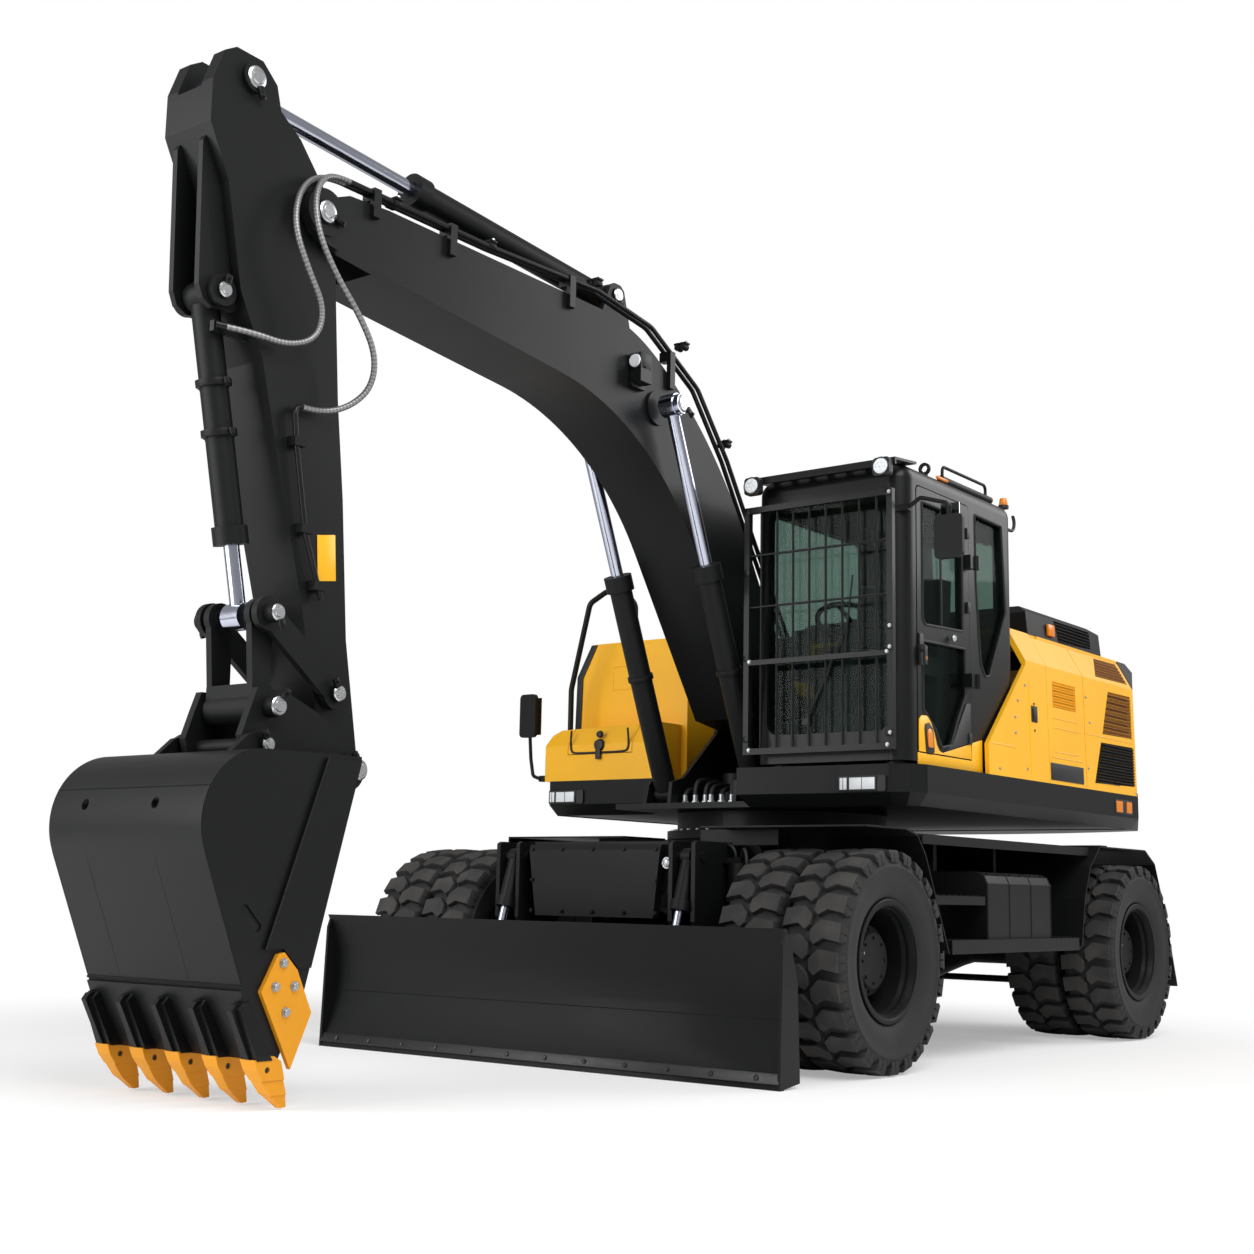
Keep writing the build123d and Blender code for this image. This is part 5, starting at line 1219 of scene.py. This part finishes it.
# %% [markdown]
# ## Woven mesh in the house's grilles
# Air passes through square woven wire behind each grille opening. At this size its over and under
# doesn't show, so it is two layers of straight round wires, one layer across the other. An image
# with holes would be lighter, but it has no depth. Each wire ends where it meets the outline of its
# opening, and the layer leans with the panel it fills.

# %% Woven mesh


def crossings(corners, axis, value):
    """Where the line at a value of x (axis 0) or z (axis 1) meets the outline, along the other one."""
    found = []
    for a, b in zip(corners, corners[1:] + corners[:1]):
        if (a[axis] - value) * (b[axis] - value) < 0:
            share = (value - a[axis]) / (b[axis] - a[axis])
            found.append(a[1 - axis] + (b[1 - axis] - a[1 - axis]) * share)
    return sorted(found)


def mesh_of_wires(name, corners, y, lean, pitch, radius, finish, body):
    """Square wire mesh in the outline (x, z); lean is (change of y with z, the z where y holds)."""
    form = bmesh.new()
    for axis in (0, 1):
        off = radius * (1 if axis else -1)
        limits = [c[axis] for c in corners]
        for i in range(int((max(limits) - min(limits)) / pitch)):
            value = min(limits) + pitch * (i + 0.5)
            ends = crossings(corners, axis, value)
            if len(ends) == 2 and ends[1] - ends[0] > pitch:
                places = [(value, end) if axis == 0 else (end, value) for end in ends]
                a, b = ((x, y + lean[0] * (z - lean[1]) + off, z) for x, z in places)
                rod_between(form, a, b, radius, 6)
    piece(name, form, finish, body, merge=False)


SIDE_LEAN, SLOPE_LEAN, HOOD_LEAN = (-0.019, 1384), (-0.557, 2015), (-0.102, 2204)
# (name, corners (x, z), y, lean, pitch, wire radius, finish, body)
MESHES = (
    ("mesh_low", ((-1050, 1424), (-1160, 1662), (-1646, 1668), (-1646, 1438)),
     1283, SIDE_LEAN, 17, 3.4, frame_black, "door_radiator_left"),
    ("mesh_middle", ((-1186, 1712), (-1292, 1966), (-1632, 1970), (-1632, 1720)),
     1283, SIDE_LEAN, 19, 2.6, copper_mesh, "door_radiator_left"),
    ("mesh_top", ((-1150, 2040), (-1300, 2168), (-1640, 2172), (-1640, 2046)),
     1271, SLOPE_LEAN, 19, 2.6, copper_mesh, "door_radiator_left"),
    ("mesh_small", ((-815, 1800), (-815, 1940), (-505, 1940), (-505, 1800)),
     1283, SIDE_LEAN, 15, 2.2, yellow, "door_engine_left"),
    ("mesh_hood", ((-1260, 2270), (-1220, 2396), (-1745, 2396), (-1745, 2290)),
     997, HOOD_LEAN, 20, 3.2, frame_black, "hood"),
)
for row in MESHES:
    mesh_of_wires(*row)
print(len(MESHES), "grilles meshed")

# %% [markdown]
# ## House side: latch, plate, beads and screws
# The left side leans in a little towards its top, so its fittings take their y from their height.
# A rubber paddle sits in a recess between two pegs, and the plate that a maker would print is left
# blank. Pressed beads stiffen the sheets, and small screws hold their edges.

# %% Places on the house's left side
HOUSE_Y, HOUSE_FOOT = 1285, 1384
HOUSE_INWARD = 12 / 631


def on_side(x, z, out=0.0):
    """A place on the house's left side, out from its skin."""
    return (x, HOUSE_Y - HOUSE_INWARD * (z - HOUSE_FOOT) + out, z)


def stroke(form, places, radius):
    """Adds thin round ribs between neighbouring places."""
    for a, b in zip(places, places[1:]):
        rod_between(form, a, b, radius, 8)


# %% Latch and blank plate
recess, paddle, blank = bmesh.new(), bmesh.new(), bmesh.new()
# (bmesh, limits of x, limits of z, thickness, out from the skin)
for form, (x0, x1), (z0, z1), thick, out in (
    (recess, (-222, -296), (1694, 1780), 3.5, 0.2), (paddle, (-236, -282), (1706, 1768), 6, 3),
    (blank, (-448, -886), (1404, 1496), 3, 0.2),
):
    slab(form, [on_side(x, z, out) for x, z in ((x0, z0), (x0, z1), (x1, z1), (x1, z0))], (0, thick, 0))
for z in (1650, 1792):
    rod_between(recess, on_side(-259, z), on_side(-259, z, 4), 7, 16)
piece("side_latch_recess", recess, seal_rubber, "upper", bevel_mm=2)
piece("side_latch", paddle, black_plastic, "upper", bevel_mm=2)
piece("blank_plate", blank, black_plastic, "door_engine_left", bevel_mm=1)
print("latch and blank plate set")

# %% Pressed beads and screws
# (body, places (x, z)) of the beads
PRESSED = {
    "door_engine_left": (
        ((-505, 1742), (-830, 1742)), ((-505, 1690), (-860, 1690)),
        ((-520, 1560), (-820, 1560), (-840, 1585)), ((-478, 1528), (-880, 1528))),
    "door_radiator_left": (((-952, 1694), (-1652, 1694)),),
    "upper": (((262, 1545), (40, 1545), (-20, 1538)), ((-200, 1420), (-200, 1900))),
}
for body, ways in PRESSED.items():
    beads = bmesh.new()
    for places in ways:
        stroke(beads, [on_side(x, z, 0.4) for x, z in places], 3.2)
    piece(f"pressed_beads_{body}", beads, yellow, body)
# (name, body, places (x, z)) of the screws
SCREWS = (
    ("side_screws", "upper", (
        (-20, 1620), (-20, 1700), (-60, 1790), (180, 1420), (-150, 1440), (-150, 1880))),
    ("radiator_door_screws", "door_radiator_left", (
        (-960, 1900), (-960, 1500), (-1660, 1400), (-1000, 1760))),
)
for name, body, places in SCREWS:
    screws = bmesh.new()
    for x, z in places:
        bolt(screws, on_side(x, z), (0, 1, 0), 11)
    piece(name, screws, zinc, body)
print(sum(len(ways) for ways in PRESSED.values()), "beads and", sum(len(row[2]) for row in SCREWS), "screws")

# %% [markdown]
# ## Reflectors, lamps and mirrors
# Lamps are built as they are on the machine: a dark case, and a pale or amber lens set a few
# millimetres proud of it. The front's two lamps have a wide and a small lens each behind one
# bezel. The visor's round lamps hold a bulb in the middle of a ring of six.

# %% Skirt reflectors and hood marker
reflectors, seats, marker = bmesh.new(), bmesh.new(), bmesh.new()
block(seats, (-1590, -1330), (1284, 1288), (1268, 1352))
for x in ((-1440, -1345), (-1580, -1500)):
    block(reflectors, x, (1287, 1290), (1278, 1342))
block(reflectors, (806, 871), (1202, 1206), (1291, 1351))
block(marker, (-1186, -1096), (990, 1006), (2290, 2360))
piece("skirt_reflectors", reflectors, reflector, "upper", bevel_mm=1)
piece("reflector_seats", seats, black_plastic, "upper", bevel_mm=1)
piece("hood_marker", marker, amber_glow, "hood", bevel_mm=5)
print("reflectors set")

# %% Head lamps
# (x of the face, y limits of the wide and the small lens)
HEAD_LAMPS = ((1104, (950, 1086), (898, 936)), (712, (-1180, -1050), (-1226, -1194)))
bezels, lenses = bmesh.new(), bmesh.new()
for x, *widths in HEAD_LAMPS:
    for low, high in widths:
        middle = (low + high) / 2
        block(bezels, (x - 1, x + 5), (low - 9, high + 9), (1257, 1329))
        block(lenses, (x + 3, x + 8), (low, high), (1265, 1321))
        block(bezels, (x + 6, x + 10), (middle - 1.5, middle + 1.5), (1265, 1321))
piece("head_lamp_bezels", bezels, black_plastic, "upper", bevel_mm=2)
piece("head_lamp_lenses", lenses, lamp_lens, "upper", bevel_mm=2)
print(len(HEAD_LAMPS), "head lamps")

# %% Visor lamps
VISOR_X, VISOR_Z, VISOR_R = 1214, 2782, 40
rims, lenses = bmesh.new(), bmesh.new()
for y in (455, 1185):
    rod_between(rims, (VISOR_X - 8, y, VISOR_Z), (VISOR_X + 6, y, VISOR_Z), VISOR_R + 5, 40)
    rod_between(lenses, (VISOR_X + 2, y, VISOR_Z), (VISOR_X + 11, y, VISOR_Z), VISOR_R, 40, VISOR_R * 0.86)
    for i in range(7):
        turn, out = math.tau * i / 6, 0 if i == 6 else VISOR_R * 0.55
        bulb_y, bulb_z = y + out * math.cos(turn), VISOR_Z + out * math.sin(turn)
        rod_between(lenses, (VISOR_X + 9, bulb_y, bulb_z), (VISOR_X + 13, bulb_y, bulb_z),
                    VISOR_R * 0.22, 16, VISOR_R * 0.15)
piece("visor_lamp_rims", rims, black_plastic, "upper")
piece("visor_lamp_lenses", lenses, lamp_lens, "upper")
print("visor lamps set")

# %% Roof markers, hook and mirror faces
markers, feet, glass = bmesh.new(), bmesh.new(), bmesh.new()
rod_between(markers, (-92, 1200, 2842), (-92, 1200, 2882), 24, 28, 19)
rod_between(feet, (-92, 1200, 2826), (-92, 1200, 2843), 28, 28)
rod_between(markers, (590, 1215, 2832), (700, 1215, 2832), 9, 12)
block(glass, (1046, 1050), (1412, 1508), (2350, 2600))
block(glass, (651, 654), (-1448, -1360), (1660, 1876))
hook = pipe("cab_hook", [(x, 1200, z) for x, z in (
    (-118, 2722), (-150, 2722), (-196, 2722), (-222, 2750), (-222, 2790), (-206, 2806))], 9)
piece("roof_markers", markers, amber_glow, "upper", bevel_mm=3)
piece("roof_marker_feet", feet, black_plastic, "upper")
piece("cab_hook", hook, black_plastic, "upper")
piece("mirror_faces", glass, mirror_glass, "upper")
print("lamps and mirrors finished")

# %% [markdown]
# ## Cab front
# The guard in front of the windscreen swings open, so hinge and latch blocks sit along its two
# edges with bolts beside them. Behind it the wiper lies across the glass: an arm, a blade and a
# round drive. Bars and blocks are enough for all of these.

# %% Guard fittings
GUARD_X = 1198
fittings, steel = bmesh.new(), bmesh.new()
for z in (1500, 1900, 2000, 2640):
    block(fittings, (GUARD_X, GUARD_X + 8), (1196, 1234), (z, z + 34))
    bolt(steel, (GUARD_X + 7, 1222, z + 17), (1, 0, 0), 13)
for z in (1500, 1900, 2330, 2640):
    block(fittings, (GUARD_X, GUARD_X + 8), (408, 440), (z, z + 30))
for y in (440, 1205):
    for z in (1462, 1898):
        bolt(steel, (GUARD_X + 2, y, z), (1, 0, 0), 14)
piece("guard_fittings", fittings, cab_black, "front_guard", bevel_mm=2)
piece("guard_bolts", steel, zinc, "front_guard")
print("guard fitted")

# %% Wiper
wiper = bmesh.new()
stroke(wiper, [(1092, 700, 1600), (1094, 930, 2060)], 6)
stroke(wiper, [(1090, 900, 1830), (1090, 960, 2300)], 5)
rod_between(wiper, (1080, 700, 1600), (1100, 700, 1600), 18, 20)
piece("wiper", wiper, black_plastic, "upper")
print("wiper laid on the glass")

# %% [markdown]
# ## Tank and storage box
# The storage box's lid has a rubber strip along its lip and a two-part draw latch. The tank's front
# face shows a square recess line and a rubber band down its outer edge, and a bent hoop stands on
# its top.

# %% Storage box
LID_STRIP = (
    (702, -1090, 1668), (700, -1098, 1600), (699, -1092, 1548), (699, -1060, 1538), (699, -890, 1538),
    (699, -720, 1538), (699, -688, 1548), (700, -682, 1600), (702, -690, 1668))
piece("lid_strip", pipe("lid_line", LID_STRIP, 6), seal_rubber, "storage_lid")
latch = bmesh.new()
rod_between(latch, (694, -890, 1580), (712, -890, 1580), 36, 28, 30)
block(latch, (700, 716), (-906, -874), (1500, 1560))
rod_between(latch, (690, -890, 1640), (708, -890, 1640), 22, 24, 17)
piece("lid_latch", latch, black_plastic, "storage_lid", bevel_mm=2)
print("storage box finished")

# %% Tank
TANK_X = 430
recess_line, band = bmesh.new(), bmesh.new()
square = ((-1010, 1925), (-830, 1925), (-830, 2060), (-1010, 2060), (-1010, 1925))
stroke(recess_line, [(TANK_X + 1, y, z) for y, z in square], 3)
edge = ((-1283, 1704), (-1274, 2013), (-1172, 2196), (-1128, 2196), (-1232, 2004), (-1240, 1704))
slab(band, [(TANK_X, y, z) for y, z in edge], (7, 0, 0))
hoop = pipe("tank_hoop", (
    (150, -560, 2196), (150, -560, 2330), (152, -600, 2385), (156, -690, 2390), (160, -760, 2385),
    (160, -790, 2330), (160, -790, 2196)), 11)
piece("tank_recess_line", recess_line, yellow, "upper")
piece("tank_edge_band", band, seal_rubber, "upper", bevel_mm=2)
piece("tank_hoop", hoop, frame_black, "upper")
print("right side finished")

# %% [markdown]
# ## Boom and arm fittings
# Steel pipes carry oil along the boom and are held by clamps: a round saddle over each pipe, and a
# plate across both with three bolts. A plain plate is fixed to the arm's side, and a work lamp
# sits beside the boom's crank.

# %% Pipe clamps, arm plate and work lamp
PIPE_YS = (158, 192)
clamps, heads = bmesh.new(), bmesh.new()
for x, z in ((3480, 3545), (2900, 3552), (2150, 3610), (1440, 3490), (1050, 3070)):
    for y in PIPE_YS:
        rod_between(clamps, (x - 20, y, z), (x + 20, y, z), 17, 12)
    block(clamps, (x - 22, x + 22), (140, 212), (z + 12, z + 22))
    for y in (148, 175, 204):
        bolt(heads, (x, y, z + 22), (0, 0, 1), 13)
plate, lamp, lens = bmesh.new(), bmesh.new(), bmesh.new()
slab(plate, [(x, 135.5, z) for x, z in ((3774, 2105), (3681, 2122), (3667, 1941), (3760, 1926))], (0, 2.5, 0))
block(lamp, (1800, 1890), (190, 262), (3250, 3336))
rod_between(lamp, (1845, 188, 3240), (1845, 225, 3240), 12, 16)
rod_between(lens, (1886, 226, 3294), (1898, 226, 3294), 34, 32, 30)
piece("boom_clamps", clamps, frame_black, "boom", bevel_mm=2)
piece("boom_clamp_bolts", heads, zinc, "boom")
piece("arm_plate", plate, yellow, "arm", bevel_mm=0.8)
piece("work_lamp", lamp, black_plastic, "boom", bevel_mm=6)
piece("work_lamp_lens", lens, lamp_lens, "boom")
print("boom lines clamped")

# %% [markdown]
# ## Bands round the cylinders
# Thin oil pipes are strapped along the barrels of a real machine. The straps show here: a band
# round the barrel, with an ear that takes the bolt. A cylinder leans, so one function sets a band
# anywhere along its line instead of turning a finished one into place.

# %% Cylinder bands


def band_round(form, middle, along, radius, half, ears):
    """Adds a band round a line through middle, with an ear and its bolt at each offset in ears."""
    rod_between(form, middle - along * half, middle + along * half, radius, 40)
    for ear in ears:
        low, high = middle + ear - along * 12, middle + ear + along * 12
        rod_between(form, low, high, 12, 12)
        bolt(form, high, along, 12)


boom_bands, bucket_bands = bmesh.new(), bmesh.new()
foot, head = Vector((888, 0, 1281)), Vector((1662, 0, 3117))
along = (head - foot).normalized()
for side in (-1, 1):
    for distance, radius in ((640, 67), (1120, 72)):
        middle = foot + along * distance + Vector((0, side * 278, 0))
        ear = along.cross(Vector((0, 1, 0))) * (radius + 8)
        band_round(boom_bands, middle, along, radius, 14, [ear])
foot, head = Vector((4270, 0, 2950)), Vector((4020, 0, 1760))
along = (head - foot).normalized()
for distance in (330, 520):
    band_round(bucket_bands, foot + along * distance, along, 68, 13,
               [Vector((0, side * 76, 0)) for side in (-1, 1)])
piece("boom_barrel_bands", boom_bands, frame_black, "boom_barrels", bevel_mm=2)
piece("bucket_barrel_bands", bucket_bands, frame_black, "bucket_barrel", bevel_mm=2)
print("cylinder bands set")

# %% [markdown]
# ## Nose
# A bolted cover closes the nose over the valve block, with a large hexagon on its boss. Three
# short grease hoses bend round beside it, each one curve through a few places.

# %% Nose cover and hoses
COVER_X = 1852
heads, boss, hexagon = bmesh.new(), bmesh.new(), bmesh.new()
cover_bolts = [(y, z) for y in (-370, -185, 0, 185, 370) for z in (672, 962)] + [(-370, 818), (370, 818)]
for y, z in cover_bolts:
    bolt(heads, (COVER_X, y, z), (1, 0, 0), 14)
rod_between(boss, (1800, 432, 900), (1850, 432, 900), 29, 28)
bolt(hexagon, (1850, 432, 900), (1, 0, 0), 36, 14)
NOSE_HOSES = (
    ((1600, 640, 930), (1612, 640, 985), (1590, 560, 992), (1560, 480, 960), (1545, 430, 900)),
    ((1600, 670, 930), (1620, 690, 975), (1640, 720, 960), (1650, 735, 880), (1620, 735, 760)),
    ((1600, 620, 690), (1610, 600, 640), (1620, 540, 620), (1600, 440, 640)),
)
piece("nose_bolts", heads, frame_black, "undercarriage")
piece("nose_boss", boss, frame_black, "undercarriage", bevel_mm=3)
piece("nose_hex", hexagon, zinc, "undercarriage")
hoses = joined([pipe("nose_hose", places, 8) for places in NOSE_HOSES])
piece("nose_hoses", hoses, seal_rubber, "undercarriage")
print(len(cover_bolts), "bolts and", len(NOSE_HOSES), "hoses on the nose")

# %% [markdown]
# ## Toolboxes, steps and slewing ring
# The toolboxes on both sides are closed by lids whose joints and bolts show, and the steps wear
# raised strips for grip. The slewing ring is held down by 48 bolts, which the ring tree sets round
# the upright axis.

# %% Toolbox seams and step treads
seams, strips = bmesh.new(), bmesh.new()
BOX_SECTION = ((1300, 576), (1300, 840), (1282, 880), (1240, 898), (1010, 898))
# (count, first x, pitch, y limits, z limits) of the strips on the upper and the lower step
TREADS = ((8, 430, 62, (1095, 1285), (777, 783)), (5, -650, 56, (1080, 1320), (571, 577)))
for side in (-1, 1):
    for x in (-372, -130, 125, 372):
        stroke(seams, [(x, side * y, z) for y, z in BOX_SECTION], 3.2)
    stroke(seams, [(-380, side * 1300, 842), (380, side * 1300, 842)], 2.5)
    for x in (-320, -190, -60, 60, 190, 320):
        bolt(seams, (x, side * 1270, 885), (0, side * 0.45, 0.9), 12)
    for count, first, pitch, y, z in TREADS:
        for i in range(count):
            x = first + pitch * i
            block(strips, (x, x + 14), sorted(side * limit for limit in y), z)
piece("toolbox_seams", seams, frame_black, "undercarriage", merge=False)
piece("step_treads", strips, frame_black, "undercarriage", bevel_mm=1.5)
print("toolboxes and steps finished")

# %% Slewing ring bolts
SLEW_X, RING_TOP, RING_R, RING_BOLTS = 200, 1100, 598, 48
ring_bolt = bmesh.new()
bolt(ring_bolt, (SLEW_X + RING_R, 0, RING_TOP), (0, 0, 1), 20, 9)
slew_tree = ring_tree("ring of slewing bolts", zinc, "Z")
bolts = through_tree("slew_bolts", ring_bolt, slew_tree, Count=RING_BOLTS, Centre=at(SLEW_X, 0, RING_TOP))
piece("slew_ring_bolts", bolts, zinc, "undercarriage")
print(RING_BOLTS, "slewing ring bolts")

# %% [markdown]
# ## Hoses at the boom's foot
# Oil comes up through the swivel and crosses to the boom in a bundle of short bent hoses with
# swaged fittings. They stay low in front of the foot, so the boom passes over them.

# %% Centre hoses
CENTRE_HOSES, HOSE_PITCH, HOSE_R = 7, 55, 13
bundle, fittings = [], bmesh.new()
for i in range(CENTRE_HOSES):
    y = HOSE_PITCH * (i - (CENTRE_HOSES - 1) / 2)
    lift = 1312 + 16 * ((i * 3) % 4)
    start = (880 - 14 * (i % 3), y, 1236)
    end = (560 + 12 * (i % 2), y + 30 - 12 * (i % 3), 1250)
    bundle.append(pipe("centre_hose", (
        start, (start[0] + 6, y, lift - 25), (start[0] - 60, y + 8, lift),
        (end[0] + 80, end[1], lift - 10), (end[0] - 6, end[1], lift - 30), end), HOSE_R))
    for x, y in (start[:2], end[:2]):
        bolt(fittings, (x, y, 1226), (0, 0, 1), 34, 20)
        rod_between(fittings, (x, y, 1244), (x, y, 1275), 15, 20)
piece("centre_hoses", joined(bundle), seal_rubber, "upper")
piece("centre_fittings", fittings, zinc, "upper")
print(len(bundle), "centre hoses")
